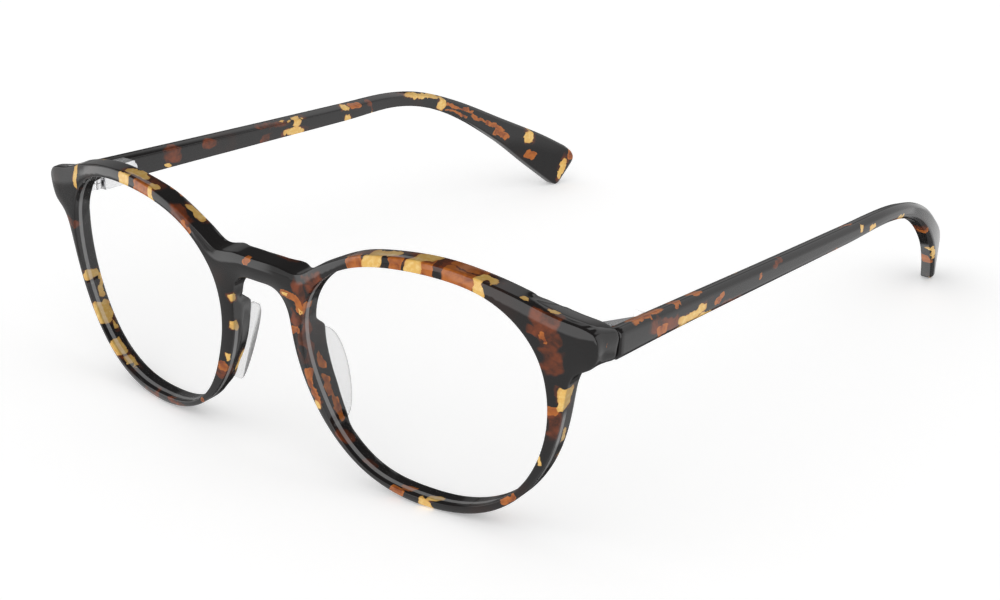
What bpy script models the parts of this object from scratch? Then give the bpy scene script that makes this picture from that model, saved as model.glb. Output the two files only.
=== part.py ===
"""Full-rim acetate eyeglasses with spring hinges, modelled as separate pieces.

The glasses stand on their rims and temple tips: +Z is up, the front looks
along -Y, and X is the width.  "left" is the wearer's left side, at +X.
The origin is on the ground below the middle of the whole object.
All driving dimensions are in millimetres and are scaled to metres by MM.
"""
import math

import bmesh
import bpy
from mathutils import Matrix, Vector

MM = 0.001
SIDES = {"left": 1, "right": -1}
MIDDLE = 77.47                      # from the bridge back to the middle of the whole object

# ---------------------------------------------------------------- the front
FRONT_TILT = math.radians(3.9)      # the front leans forward at the top
FRONT_BOW_RADIUS = 251.5            # wrap of the front across the face
RIM_DEPTH = 4.2                     # thickness of the acetate sheet
HALF_WIDTH = 66.0

# Half outline of the front as (across, up), from under the bridge round the rim to its top.
FRONT_OUTLINE = (
    (0.0, 34.2), (4.2, 33.8), (6.4, 31.4), (7.3, 26.0), (9.4, 17.4), (14.1, 9.2), (20.5, 3.5),
    (28.0, 0.6), (35.0, 0.0), (42.6, 1.1), (49.6, 4.9), (55.5, 12.3), (58.5, 20.2), (59.8, 26.4),
    (61.4, 31.0), (64.6, 33.3), (66.0, 35.2), (66.0, 37.4), (64.8, 39.0), (60.0, 40.4),
    (53.5, 42.5), (46.8, 44.5), (37.9, 45.8), (29.2, 45.4), (22.4, 44.1), (16.6, 41.6),
    (12.9, 39.6), (9.9, 38.0), (6.0, 38.3), (0.0, 38.4),
)
LENS_CENTRE = (33.0, 24.3)
# Lens opening as (across, up), clockwise from the temple side.
LENS_OPENING = (
    (57.1, 24.3), (55.0, 14.6), (49.4, 6.5), (40.7, 2.3), (31.5, 1.8), (22.9, 3.5), (16.1, 8.9),
    (12.2, 16.3), (10.1, 24.3), (11.1, 32.8), (16.6, 39.3), (24.0, 42.6), (31.5, 43.7),
    (39.5, 43.6), (48.6, 41.2), (55.3, 34.2),
)
FRONT_REST = 0.127                  # how far the tilt lifts the rims' lowest edge
# Depth of the front behind its outer surface as (across, depth).
DEPTH_PROFILE = (
    (0.0, 4.6), (6.0, 5.3), (8.5, 5.2), (10.6, 4.4), (14.0, RIM_DEPTH), (HALF_WIDTH + 2.0, RIM_DEPTH),
)
# Block behind each end piece, as (across, depth) in plan, above END_BLOCK_BOTTOM.
END_BLOCK = ((53.5, 2.0), (53.5, 3.6), (54.8, 4.8), (57.6, 8.2), (58.2, 12.0), (HALF_WIDTH + 2.0, 12.0),
             (HALF_WIDTH + 2.0, 2.0))
END_BLOCK_BOTTOM = 31.4
# Nose build-up behind the rim as (up, depth).
BUILD_UP = (
    (7.5, 2.0), (7.5, 3.6), (11.0, 4.9), (16.0, 5.5), (23.5, 5.95), (26.4, 5.95), (28.4, 3.8), (28.4, 2.0),
)
BUILD_UP_HALF_WIDTH = 15.0
PLAN_STEP = 5.5                     # length of the straight steps that follow the bow

# --------------------------------------------------------------- the lenses
LENS_FRONT_SETBACK = 1.2            # from the rim's front surface
LENS_THICKNESS = 1.8
LENS_EDGE_IN_GROOVE = 0.5           # how far the lens reaches into the rim
GROOVE_CLEARANCE = 0.2

# ------------------------------------------------------------ the nose pads
PAD_HALF_LENGTH = 7.3
PAD_BULGE = 3.3
PAD_THICKNESS = 1.8
PAD_CENTRE = (10.9, 19.2, 5.85)     # across, up, depth
PAD_ALONG = (-4.4, 14.5, 1.0)
PAD_SPLAY = math.radians(20.0)

# --------------------------------------------------------------- the hinges
HINGE_AXIS = (61.2, 13.7, 35.5)     # on the left hinge's axis: across, behind the bridge, up
TEMPLE_SLOPE = math.radians(3.0)    # the temples slope down towards the ears
JOINT_PLANE = -2.0                  # back of the end piece, along the temple from the axis
JOINT_GAP = 0.15
END_HALF_HEIGHT = 2.65              # end piece at the joint
END_TAPER = (9.0, 1.8)              # its top and bottom close in by this much over this depth
END_TRIM = (-7.0, 8.0)              # where that applies, outwards from the axis
BARREL_RADIUS = 1.25
LEAF_HALF_HEIGHT = 1.75
TONGUE_HALF_HEIGHT = 0.45
TONGUE_GAP = 0.1
SCREW_RADIUS = 0.5
SCREW_PLAY = 0.08                   # round the screw in its holes
SCREW_HEAD_RADIUS = 0.85
SCREW_HEAD_HEIGHT = 0.4
ROD_RADIUS = 0.35
ROD_PLAY = 0.1
PLATE_END = 2.85                    # the tongue's flat arm ends here and the rod goes on
ROD_ACROSS = 0.65                   # the sliding rod's axis, outwards from the hinge axis
ROD_END = 8.75
HOUSING_FRONT = 1.6
HOUSING_REAR = 10.3
HOUSING_HALF_HEIGHT = 1.7
HOUSING_INNER = (-1.2, -0.6)        # inner face at the front and at the rear
HOUSING_OUTER = 2.7                 # sunk into the temple
HOUSING_CORNER = 1.0
SHOULDER = (3.1, 3.6)
BORE_RADIUS = 0.85
BORE_END = 9.8
STOP_SPAN = (7.7, 8.3)
STOP_RADIUS = 0.72
SPRING_COIL_RADIUS = 0.6
SPRING_WIRE_RADIUS = 0.11
SPRING_SPAN = (3.75, 7.55)
SPRING_TURNS = 6

# -------------------------------------------------------------- the temples
TEMPLE_INNER = 1.6                  # inner face, outwards from the hinge axis
TEMPLE_THICKNESS = 3.3
TEMPLE_TOP_BEVEL = (2.0, 1.1)       # width and drop of the long bevel on the outer top edge
TEMPLE_BOTTOM_BEVEL = (1.0, 0.8)
TEMPLE_EDGE = 0.3
# The temple from the side as (back from the hinge axis, up, half height).
TEMPLE_STATIONS = (
    (JOINT_PLANE + JOINT_GAP, 0.0, 2.6), (15.0, 0.1, 2.28), (44.0, 0.1, 1.98), (74.0, 0.15, 1.75),
    (90.0, 0.25, 1.52), (100.5, -1.3, 1.62), (112.0, -5.4, 1.9), (125.0, -12.4, 2.85),
    (135.0, -18.7, 4.3), (143.6, -24.62, 5.2),
)
INWARD_START = 84.0                 # behind this the temple curves in towards the head
INWARD_RADIUS = 137.0
TWIST_SPAN = (100.0, 130.0)
TWIST = 0.22                        # lean of the tip, inwards per unit of height
TIP_ROUNDING = (1.7, 3.4)           # radius of the tip's lower and upper corners
CORE_INNER = 2.35                   # metal core, outwards from the hinge axis
CORE_THICKNESS = 0.7
CORE_HALF_HEIGHT = 0.6
CORE_SPAN = (10.75, 126.0)
CORE_CLEARANCE = 0.12
RECESS_CLEARANCE = 0.15


# ------------------------------------------------------------------ helpers
def clear_scene():
    for item in list(bpy.data.objects):
        bpy.data.objects.remove(item, do_unlink=True)


def new_collection(name):
    group = bpy.data.collections.new(name)
    bpy.context.scene.collection.children.link(group)
    return group


def make_material(name, colour, roughness, metallic=0.0, transmission=0.0):
    material = bpy.data.materials.new(name)
    material.use_nodes = True
    shader = material.node_tree.nodes["Principled BSDF"]
    shader.inputs["Base Color"].default_value = (*colour, 1.0)
    shader.inputs["Roughness"].default_value = roughness
    shader.inputs["Metallic"].default_value = metallic
    shader.inputs["Transmission Weight"].default_value = transmission
    return material


def place(item, group, parent=None, material=None):
    group.objects.link(item)
    item.parent = parent
    if material is not None:
        item.data.materials.append(material)
    return item


def as_cutter(item, parent=None):
    place(item, CUTTERS, parent)
    item.hide_render = True
    item.display_type = "WIRE"
    return item


def object_from_bmesh(name, shape, side=1):
    """Turn a bmesh in millimetres into an object, mirrored for the right side."""
    bmesh.ops.scale(shape, vec=(side * MM, MM, MM), verts=shape.verts)
    if side < 0:
        bmesh.ops.reverse_faces(shape, faces=shape.faces)
    mesh = bpy.data.meshes.new(name)
    shape.to_mesh(mesh)
    shape.free()
    return bpy.data.objects.new(name, mesh)


def add_box(shape, low, high):
    size = [b - a for a, b in zip(low, high)]
    middle = [(a + b) / 2 for a, b in zip(low, high)]
    bmesh.ops.create_cube(shape, size=1.0, matrix=Matrix.Translation(middle) @ Matrix.Diagonal((*size, 1.0)))


def add_cylinder(shape, start, end, radius, segments=24):
    start, end = Vector(start), Vector(end)
    turn = (end - start).to_track_quat("Z", "Y").to_matrix().to_4x4()
    bmesh.ops.create_cone(
        shape, cap_ends=True, segments=segments, radius1=radius, radius2=radius,
        depth=(end - start).length, matrix=Matrix.Translation((start + end) / 2) @ turn,
    )


def box_object(name, low, high, side=1):
    shape = bmesh.new()
    add_box(shape, low, high)
    return object_from_bmesh(name, shape, side)


def cylinder_object(name, start, end, radius, side=1, segments=24):
    shape = bmesh.new()
    add_cylinder(shape, start, end, radius, segments)
    return object_from_bmesh(name, shape, side)


def flat_solid(name, loops, bottom, top, smooth=0):
    """Extrude closed outlines (millimetres, in XY) between two heights as one closed mesh.

    With smooth above zero the outlines are Bezier curves through their points,
    with that many steps between two points; otherwise they are polygons.
    """
    curve = bpy.data.curves.new(name, "CURVE")
    curve.dimensions = "2D"
    curve.fill_mode = "BOTH"
    curve.extrude = (top - bottom) / 2 * MM
    curve.resolution_u = max(smooth, 1)
    for loop in loops:
        if smooth:
            spline = curve.splines.new("BEZIER")
            spline.bezier_points.add(len(loop) - 1)
            for knot, (x, y) in zip(spline.bezier_points, loop):
                knot.co = (x * MM, y * MM, 0.0)
                knot.handle_left_type = "AUTO"
                knot.handle_right_type = "AUTO"
        else:
            spline = curve.splines.new("POLY")
            spline.points.add(len(loop) - 1)
            for knot, (x, y) in zip(spline.points, loop):
                knot.co = (x * MM, y * MM, 0.0, 1.0)
        spline.use_cyclic_u = True
    guide = bpy.data.objects.new(name + "_curve", curve)
    bpy.context.scene.collection.objects.link(guide)
    guide.location.z = (top + bottom) / 2 * MM
    bpy.context.view_layer.update()
    evaluated = guide.evaluated_get(bpy.context.evaluated_depsgraph_get())
    mesh = bpy.data.meshes.new_from_object(evaluated)
    shape = bmesh.new()
    shape.from_mesh(mesh)
    shape.transform(guide.matrix_world)
    bmesh.ops.remove_doubles(shape, verts=shape.verts, dist=1e-7)
    bmesh.ops.recalc_face_normals(shape, faces=shape.faces)
    shape.to_mesh(mesh)
    shape.free()
    bpy.data.objects.remove(guide, do_unlink=True)
    mesh.name = name
    return bpy.data.objects.new(name, mesh)


def mirror_points(points):
    """Add the mirror image of a half outline whose first and last points are on the middle line."""
    return list(points) + [(-x, y) for x, y in reversed(points[1:-1])]


def cut(item, operation, tool):
    step = item.modifiers.new(operation.lower() + "_" + tool.name, "BOOLEAN")
    step.operation = operation
    step.solver = "EXACT"
    step.object = tool


def interpolate(table, at):
    """Read a value off a table of (position, value) pairs."""
    if at <= table[0][0]:
        return table[0][1]
    for (a, va), (b, vb) in zip(table, table[1:]):
        if at <= b:
            return va + (vb - va) * (at - a) / (b - a)
    return table[-1][1]


def spline_points(knots, steps):
    """Points on a smooth curve through the knots, spaced by chord length."""
    points = []
    knots = [Vector(knot) for knot in knots]
    slopes = []
    for index, knot in enumerate(knots):
        before = knots[max(index - 1, 0)]
        after = knots[min(index + 1, len(knots) - 1)]
        slopes.append((after - before) / (after - before).length)
    for index in range(len(knots) - 1):
        a, b = knots[index], knots[index + 1]
        reach = (b - a).length
        for step in range(steps):
            t = step / steps
            points.append(
                a * (2 * t ** 3 - 3 * t ** 2 + 1) + slopes[index] * reach * (t ** 3 - 2 * t ** 2 + t)
                + b * (3 * t ** 2 - 2 * t ** 3) + slopes[index + 1] * reach * (t ** 3 - t ** 2)
            )
    points.append(knots[-1])
    return points


def loft(name, rings, side=1):
    """Closed solid through rings of points that all have the same count."""
    shape = bmesh.new()
    rows = [[shape.verts.new(point) for point in ring] for ring in rings]
    count = len(rows[0])
    for row, after in zip(rows, rows[1:]):
        for index in range(count):
            other = (index + 1) % count
            shape.faces.new((row[index], row[other], after[other], after[index]))
    shape.faces.new(list(reversed(rows[0])))
    shape.faces.new(rows[-1])
    bmesh.ops.recalc_face_normals(shape, faces=shape.faces)
    return object_from_bmesh(name, shape, side)


# ---------------------------------------------------------------- the front
def bow(across):
    """Depth of the front's outer surface behind its middle."""
    return across ** 2 / (2 * FRONT_BOW_RADIUS)


def plan_slab(name, front, back):
    """Slab between two surfaces that follow the bow, each given as its depth at a place across."""
    reach = HALF_WIDTH + 2.0
    count = round(reach / PLAN_STEP)
    breaks = {reach * index / count for index in range(-count, count + 1)}
    breaks |= {side * u for u, _ in DEPTH_PROFILE for side in (-1, 1)}
    across = sorted(breaks)
    outer = [(u, bow(u) + front(abs(u))) for u in across]
    inner = [(u, bow(u) + back(abs(u))) for u in reversed(across)]
    slab = flat_solid(name, [outer + inner], -60.0, 10.0)
    return as_cutter(upright(slab), FRONT)


def upright(item):
    """Turn an outline drawn as (across, depth) and extruded downwards into (across, up, -depth)."""
    item.data.transform(Matrix(((1, 0, 0, 0), (0, 0, -1, 0), (0, -1, 0, 0), (0, 0, 0, 1))))
    fix_normals(item)
    return item


def fix_normals(item):
    shape = bmesh.new()
    shape.from_mesh(item.data)
    bmesh.ops.recalc_face_normals(shape, faces=shape.faces)
    shape.to_mesh(item.data)
    shape.free()


def build_up_block():
    block = flat_solid("nose_build_up", [BUILD_UP], -BUILD_UP_HALF_WIDTH, BUILD_UP_HALF_WIDTH)
    block.data.transform(Matrix(((0, 0, 1, 0), (1, 0, 0, 0), (0, -1, 0, 0), (0, 0, 0, 1))))
    fix_normals(block)
    return as_cutter(block, FRONT)


def lens_loop(side, grow):
    """Lens outline, grown outwards from the opening by about that many millimetres."""
    cu, cv = LENS_CENTRE
    loop = []
    for u, v in LENS_OPENING:
        reach = math.hypot(u - cu, v - cv)
        factor = (reach + grow) / reach
        loop.append((side * (cu + (u - cu) * factor), cv + (v - cv) * factor))
    return loop


def end_block(name, side):
    plan = [(side * u, bow(u) + depth) for u, depth in END_BLOCK]
    block = flat_solid("end_block_" + name, [plan], -60.0, -END_BLOCK_BOTTOM)
    return as_cutter(upright(block), FRONT)


def build_front():
    openings = [lens_loop(side, 0.0) for side in SIDES.values()]
    front = flat_solid("front_frame", [mirror_points(FRONT_OUTLINE)] + openings, -24.0, 6.0, smooth=3)
    place(front, PARTS, FRONT, ACETATE)
    slab = plan_slab("front_slab", lambda u: 0.0, lambda u: interpolate(DEPTH_PROFILE, u))
    cut(slab, "UNION", build_up_block())
    for name, side in SIDES.items():
        cut(slab, "UNION", end_block(name, side))
    cut(front, "INTERSECT", slab)

    near, far = LENS_FRONT_SETBACK, LENS_FRONT_SETBACK + LENS_THICKNESS
    play = GROOVE_CLEARANCE
    lens_body = plan_slab("lens_slab", lambda u: near, lambda u: far)
    groove_body = plan_slab("groove_slab", lambda u: near - play, lambda u: far + play)
    for name, side in SIDES.items():
        groove = flat_solid("groove_" + name, [lens_loop(side, LENS_EDGE_IN_GROOVE + GROOVE_CLEARANCE)],
                            -24.0, 6.0, smooth=3)
        as_cutter(groove, FRONT)
        cut(groove, "INTERSECT", groove_body)
        cut(front, "DIFFERENCE", groove)
        lens = flat_solid("lens_" + name, [lens_loop(side, LENS_EDGE_IN_GROOVE)], -24.0, 6.0, smooth=3)
        place(lens, PARTS, FRONT, LENS)
        cut(lens, "INTERSECT", lens_body)
    return front


def build_nose_pad(name, side):
    """Clear D-shaped pad, glued by its straight edge to the back of the build-up."""
    steps = 14
    outline = []
    for index in range(steps + 1):
        angle = math.pi * index / steps
        outline.append((PAD_HALF_LENGTH * math.cos(angle), PAD_BULGE * math.sin(angle) ** 0.85))
    pad = flat_solid("nose_pad_" + name, [outline], -PAD_THICKNESS / 2, PAD_THICKNESS / 2)
    along = Vector(PAD_ALONG).normalized()
    bulge = Vector((math.sin(PAD_SPLAY), 0.0, math.cos(PAD_SPLAY)))
    bulge = (bulge - along * bulge.dot(along)).normalized()
    through = along.cross(bulge)
    centre = Vector(PAD_CENTRE) * MM
    matrix = Matrix((along, bulge, through)).transposed().to_4x4()
    matrix = Matrix.Translation(centre) @ matrix
    into_front = Matrix.Diagonal((side, 1.0, -1.0, 1.0))
    pad.data.transform(into_front @ matrix)
    fix_normals(pad)
    place(pad, PARTS, FRONT, PAD)


# --------------------------------------------------------------- the hinges
def arc(radius, start, end, steps):
    points = []
    for index in range(steps + 1):
        angle = math.radians(start + (end - start) * index / steps)
        points.append((radius * math.cos(angle), radius * math.sin(angle)))
    return points


def sideways(item):
    """Turn an outline drawn as (back, up) and extruded along Z into one extruded across."""
    item.data.transform(Matrix(((0, 0, 1, 0), (1, 0, 0, 0), (0, 1, 0, 0), (0, 0, 0, 1))))
    return item


def sided(item, side):
    """Mirror an object's mesh for the right side."""
    if side < 0:
        item.data.transform(Matrix.Diagonal((-1.0, 1.0, 1.0, 1.0)))
        fix_normals(item)
    return item


def build_leaf(name, side, axis, front):
    """Front half of the hinge: two knuckles on a block sunk into the end piece."""
    depth = JOINT_PLANE - 2.45
    outline = arc(BARREL_RADIUS, 0.0, 224.0, 18) + [
        (-0.9, JOINT_PLANE), (-1.15, JOINT_PLANE), (-1.15, depth), (1.65, depth), (1.65, JOINT_PLANE),
        (BARREL_RADIUS, JOINT_PLANE),
    ]
    leaf = sided(flat_solid("hinge_leaf_" + name, [outline], -LEAF_HALF_HEIGHT, LEAF_HALF_HEIGHT), side)
    place(leaf, PARTS, axis, STEEL)
    slot_half = TONGUE_HALF_HEIGHT + TONGUE_GAP
    slot = box_object("knuckle_slot_" + name, (-2.0, -1.45, -slot_half), (2.0, 2.0, slot_half), side)
    cut(leaf, "DIFFERENCE", as_cutter(slot, axis))
    hole = cylinder_object("screw_hole_" + name, (0, 0, -3), (0, 0, 3), SCREW_RADIUS + SCREW_PLAY, side)
    cut(leaf, "DIFFERENCE", as_cutter(hole, axis))
    seat_bottom = LEAF_HALF_HEIGHT - SCREW_HEAD_HEIGHT - 0.06
    seat_radius = SCREW_HEAD_RADIUS + SCREW_PLAY
    seat = cylinder_object("screw_seat_" + name, (0, 0, seat_bottom), (0, 0, 3), seat_radius, side)
    cut(leaf, "DIFFERENCE", as_cutter(seat, axis))

    pocket = box_object("leaf_pocket_" + name, (-1.3, depth - 0.15, -LEAF_HALF_HEIGHT - 0.15),
                        (1.8, 1.0, LEAF_HALF_HEIGHT + 0.15), side)
    cut(front, "DIFFERENCE", as_cutter(pocket, axis))
    joint = box_object("joint_cut_" + name, (-30.0, JOINT_PLANE, -30.0), (30.0, 30.0, 30.0), side)
    cut(front, "DIFFERENCE", as_cutter(joint, axis))
    for edge, up in (("top", 1), ("bottom", -1)):
        start, drop = END_TAPER
        wedge = [(JOINT_PLANE + 1.0, up * END_HALF_HEIGHT), (JOINT_PLANE, up * END_HALF_HEIGHT),
                 (JOINT_PLANE - start, up * (END_HALF_HEIGHT + drop)), (JOINT_PLANE - start, up * 12.0),
                 (JOINT_PLANE + 1.0, up * 12.0)]
        trim = flat_solid("end_" + edge + "_" + name, [wedge], END_TRIM[0], END_TRIM[1])
        as_cutter(sided(sideways(trim), side), axis)
        cut(front, "DIFFERENCE", trim)


def build_screw(name, side, axis):
    head_bottom = LEAF_HALF_HEIGHT - SCREW_HEAD_HEIGHT
    profile = [
        (SCREW_HEAD_RADIUS, LEAF_HALF_HEIGHT), (SCREW_HEAD_RADIUS, head_bottom),
        (SCREW_RADIUS, head_bottom), (SCREW_RADIUS, -LEAF_HALF_HEIGHT + 0.1),
    ]
    shape = bmesh.new()
    top = shape.verts.new((0.0, 0.0, profile[0][1]))
    bottom = shape.verts.new((0.0, 0.0, profile[-1][1]))
    steps = 20
    rings = []
    for radius, height in profile:
        ring = []
        for index in range(steps):
            angle = math.tau * index / steps
            ring.append(shape.verts.new((radius * math.cos(angle), radius * math.sin(angle), height)))
        rings.append(ring)
    for ring, after in zip(rings, rings[1:]):
        for index in range(steps):
            other = (index + 1) % steps
            shape.faces.new((ring[index], ring[other], after[other], after[index]))
    for index in range(steps):
        other = (index + 1) % steps
        shape.faces.new((top, rings[0][other], rings[0][index]))
        shape.faces.new((bottom, rings[-1][index], rings[-1][other]))
    bmesh.ops.recalc_face_normals(shape, faces=shape.faces)
    screw = place(object_from_bmesh("hinge_screw_" + name, shape, side), PARTS, axis, STEEL)
    slot = box_object("driver_slot_" + name, (-2.0, -0.1, LEAF_HALF_HEIGHT - 0.2), (2.0, 0.1, 3.0), side)
    cut(screw, "DIFFERENCE", as_cutter(slot, axis))


def rod_cylinder(name, start, end, radius, side):
    """Cylinder round the sliding rod's axis."""
    return cylinder_object(name, (ROD_ACROSS, start, 0), (ROD_ACROSS, end, 0), radius, side)


def build_tongue(name, side, axis):
    """Middle knuckle with the rod that slides in the housing."""
    arm = (ROD_ACROSS - 0.55, ROD_ACROSS + 0.55)
    outline = arc(BARREL_RADIUS - 0.05, 85.0, 360.0, 20) + [(arm[1], PLATE_END), (arm[0], PLATE_END)]
    tongue = flat_solid("hinge_tongue_" + name, [outline], -TONGUE_HALF_HEIGHT, TONGUE_HALF_HEIGHT)
    place(sided(tongue, side), PARTS, axis, STEEL)
    rod = rod_cylinder("rod_" + name, PLATE_END - 0.4, ROD_END, ROD_RADIUS, side)
    cut(tongue, "UNION", as_cutter(rod, axis))
    hole = cylinder_object("tongue_hole_" + name, (0, 0, -3), (0, 0, 3), SCREW_RADIUS + SCREW_PLAY, side)
    cut(tongue, "DIFFERENCE", as_cutter(hole, axis))


def build_housing(name, side, axis):
    """Closed-end box on the temple's inner face, with a bore for the rod and its spring."""
    plan = [
        (HOUSING_INNER[0], HOUSING_FRONT), (HOUSING_OUTER, HOUSING_FRONT),
        (HOUSING_OUTER, HOUSING_REAR), (HOUSING_INNER[1], HOUSING_REAR),
    ]
    housing = flat_solid("spring_housing_" + name, [plan], -HOUSING_HALF_HEIGHT, HOUSING_HALF_HEIGHT)
    place(sided(housing, side), PARTS, axis, STEEL)
    corner = HOUSING_CORNER
    near, turn, over = HOUSING_FRONT - 1.0, HOUSING_REAR - corner, HOUSING_HALF_HEIGHT + 1.0
    rounded = [(near, -over), (turn, -over)]
    for start, up in ((-90.0, -1), (0.0, 1)):
        for back, height in arc(corner, start, start + 90.0, 6):
            rounded.append((turn + back, up * (HOUSING_HALF_HEIGHT - corner) + height))
    rounded += [(turn, over), (near, over)]
    ends = flat_solid("housing_ends_" + name, [rounded], -6.0, 6.0)
    cut(housing, "INTERSECT", as_cutter(sideways(ends), axis))
    slot_half = TONGUE_HALF_HEIGHT + TONGUE_GAP
    slot = box_object("tongue_slot_" + name, (ROD_ACROSS - 0.65, 0.0, -slot_half),
                      (ROD_ACROSS + 0.65, SHOULDER[0], slot_half), side)
    cut(housing, "DIFFERENCE", as_cutter(slot, axis))
    neck = rod_cylinder("rod_hole_" + name, SHOULDER[0] - 0.6, SHOULDER[1] + 0.9, ROD_RADIUS + ROD_PLAY, side)
    cut(housing, "DIFFERENCE", as_cutter(neck, axis))
    bore = rod_cylinder("spring_bore_" + name, SHOULDER[1], BORE_END, BORE_RADIUS, side)
    cut(housing, "DIFFERENCE", as_cutter(bore, axis))


def build_spring(name, side, axis):
    """Coil spring round the rod, between the housing's shoulder and the stop."""
    curve = bpy.data.curves.new("flex_spring_" + name, "CURVE")
    curve.dimensions = "3D"
    curve.bevel_depth = SPRING_WIRE_RADIUS * MM
    curve.bevel_resolution = 2
    curve.use_fill_caps = True
    per_turn = 10
    count = SPRING_TURNS * per_turn
    spline = curve.splines.new("POLY")
    spline.points.add(count)
    low = SPRING_SPAN[0] + SPRING_WIRE_RADIUS
    high = SPRING_SPAN[1] - SPRING_WIRE_RADIUS
    for index, knot in enumerate(spline.points):
        angle = math.tau * index / per_turn
        x = ROD_ACROSS + SPRING_COIL_RADIUS * math.cos(angle)
        y = low + (high - low) * index / count
        z = SPRING_COIL_RADIUS * math.sin(angle)
        knot.co = (side * x * MM, y * MM, z * MM, 1.0)
    place(bpy.data.objects.new("flex_spring_" + name, curve), PARTS, axis, STEEL)


def build_stop(name, side, axis):
    start, end = STOP_SPAN
    stop = rod_cylinder("rod_stop_" + name, start, end, STOP_RADIUS, side)
    place(stop, PARTS, axis, STEEL)
    hole = rod_cylinder("stop_hole_" + name, start - 1.0, end + 1.0, ROD_RADIUS + ROD_PLAY, side)
    cut(stop, "DIFFERENCE", as_cutter(hole, axis))


# -------------------------------------------------------------- the temples
def inward(back):
    """How far the temple has curved in towards the head."""
    past = max(0.0, back - INWARD_START)
    return past ** 2 / (2 * INWARD_RADIUS)


def twist(back):
    share = min(max((back - TWIST_SPAN[0]) / (TWIST_SPAN[1] - TWIST_SPAN[0]), 0.0), 1.0)
    return TWIST * share * share * (3 - 2 * share)


def corner_drop(radius, left):
    """How far a rounded corner has closed in, that far before its end."""
    if left >= radius:
        return 0.0
    return radius - math.sqrt(radius ** 2 - (radius - left) ** 2)


def temple_line(steps):
    """Stations along the temple: centre, direction across its height, and extent below and above."""
    points = spline_points(TEMPLE_STATIONS, steps)
    end = points[-1]
    body = [point for point in points if (end - point).to_2d().length > max(TIP_ROUNDING)]
    last = body[-1]
    length = (end - last).to_2d().length
    path = [(point, length) for point in body]
    for index in range(7):
        left = max(TIP_ROUNDING) * (1 - math.sin(math.radians(15 * index)))
        path.append((last.lerp(end, 1 - left / length), left))
    stations = []
    for index, (point, left) in enumerate(path):
        before = path[max(index - 1, 0)][0]
        after = path[min(index + 1, len(path) - 1)][0]
        ahead = (after - before).to_2d().normalized()
        if index == 0:
            ahead = Vector((1.0, 0.0))
        below, above = (point.z - corner_drop(radius, left) for radius in TIP_ROUNDING)
        stations.append((point.to_2d(), Vector((-ahead.y, ahead.x)), below, above))
    return stations


def ring_at(station, corners):
    """Place section corners, given as (outwards, up), on a station of the temple."""
    point, upward = station[:2]
    ring = []
    for out, up in corners:
        back = point.x + upward.x * up
        height = point.y + upward.y * up
        ring.append((out - inward(point.x) - twist(point.x) * up, back, height))
    return ring


def temple_section(below, above):
    inner, outer = TEMPLE_INNER, TEMPLE_INNER + TEMPLE_THICKNESS
    top_width, top_drop = TEMPLE_TOP_BEVEL
    low_width, low_drop = TEMPLE_BOTTOM_BEVEL
    return (
        (inner, -below + TEMPLE_EDGE), (inner + TEMPLE_EDGE, -below), (outer - low_width, -below),
        (outer, -below + low_drop), (outer, above - top_drop), (outer - top_width, above),
        (inner + TEMPLE_EDGE, above), (inner, above - TEMPLE_EDGE),
    )


def core_rings(grow, span):
    rings = []
    low, high = CORE_INNER - grow, CORE_INNER + CORE_THICKNESS + grow
    half = CORE_HALF_HEIGHT + grow
    corners = ((low, -half), (high, -half), (high, half), (low, half))
    inside = [s for s in temple_line(4) if span[0] < s[0].x < span[1]]
    start = (Vector((span[0], inside[0][0].y)), Vector((0.0, 1.0)))
    for station in [start] + inside:
        rings.append(ring_at(station, corners))
    return rings


def build_temple(name, side, axis):
    rings = [ring_at(station, temple_section(*station[2:])) for station in temple_line(4)]
    temple = place(loft("temple_" + name, rings, side), PARTS, axis, ACETATE)
    recess = box_object("housing_recess_" + name,
                        (0.0, HOUSING_FRONT - RECESS_CLEARANCE, -HOUSING_HALF_HEIGHT - RECESS_CLEARANCE),
                        (HOUSING_OUTER + RECESS_CLEARANCE, HOUSING_REAR + RECESS_CLEARANCE,
                         HOUSING_HALF_HEIGHT + RECESS_CLEARANCE), side)
    cut(temple, "DIFFERENCE", as_cutter(recess, axis))
    channel = loft("core_channel_" + name,
                   core_rings(CORE_CLEARANCE, (CORE_SPAN[0] - 0.5, CORE_SPAN[1] + 0.3)), side)
    cut(temple, "DIFFERENCE", as_cutter(channel, axis))
    core = loft("temple_core_" + name, core_rings(0.0, CORE_SPAN), side)
    place(core, PARTS, axis, STEEL)


# -------------------------------------------------------------------- build
clear_scene()
PARTS = new_collection("eyeglasses")
CUTTERS = new_collection("cutters")
ACETATE = make_material("tortoise_acetate", (0.035, 0.025, 0.02), 0.12)
LENS = make_material("clear_lens", (0.9, 0.93, 0.93), 0.02, transmission=1.0)
PAD = make_material("clear_pad", (0.85, 0.85, 0.83), 0.15, transmission=0.9)
STEEL = make_material("hinge_steel", (0.6, 0.6, 0.62), 0.25, metallic=1.0)

FRONT = bpy.data.objects.new("front_axes", None)
PARTS.objects.link(FRONT)
FRONT.location = (0.0, -MIDDLE * MM, -FRONT_REST * MM)
FRONT.rotation_euler = (math.pi / 2 + FRONT_TILT, 0.0, 0.0)

front_frame = build_front()
for side_name, side_sign in SIDES.items():
    build_nose_pad(side_name, side_sign)
    hinge_axis = bpy.data.objects.new("hinge_axis_" + side_name, None)
    PARTS.objects.link(hinge_axis)
    hinge_axis.location = (side_sign * HINGE_AXIS[0] * MM, (HINGE_AXIS[1] - MIDDLE) * MM, HINGE_AXIS[2] * MM)
    hinge_axis.rotation_euler = (-TEMPLE_SLOPE, 0.0, 0.0)
    build_leaf(side_name, side_sign, hinge_axis, front_frame)
    build_screw(side_name, side_sign, hinge_axis)
    build_tongue(side_name, side_sign, hinge_axis)
    build_housing(side_name, side_sign, hinge_axis)
    build_spring(side_name, side_sign, hinge_axis)
    build_stop(side_name, side_sign, hinge_axis)
    build_temple(side_name, side_sign, hinge_axis)
bpy.context.view_layer.update()
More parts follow.
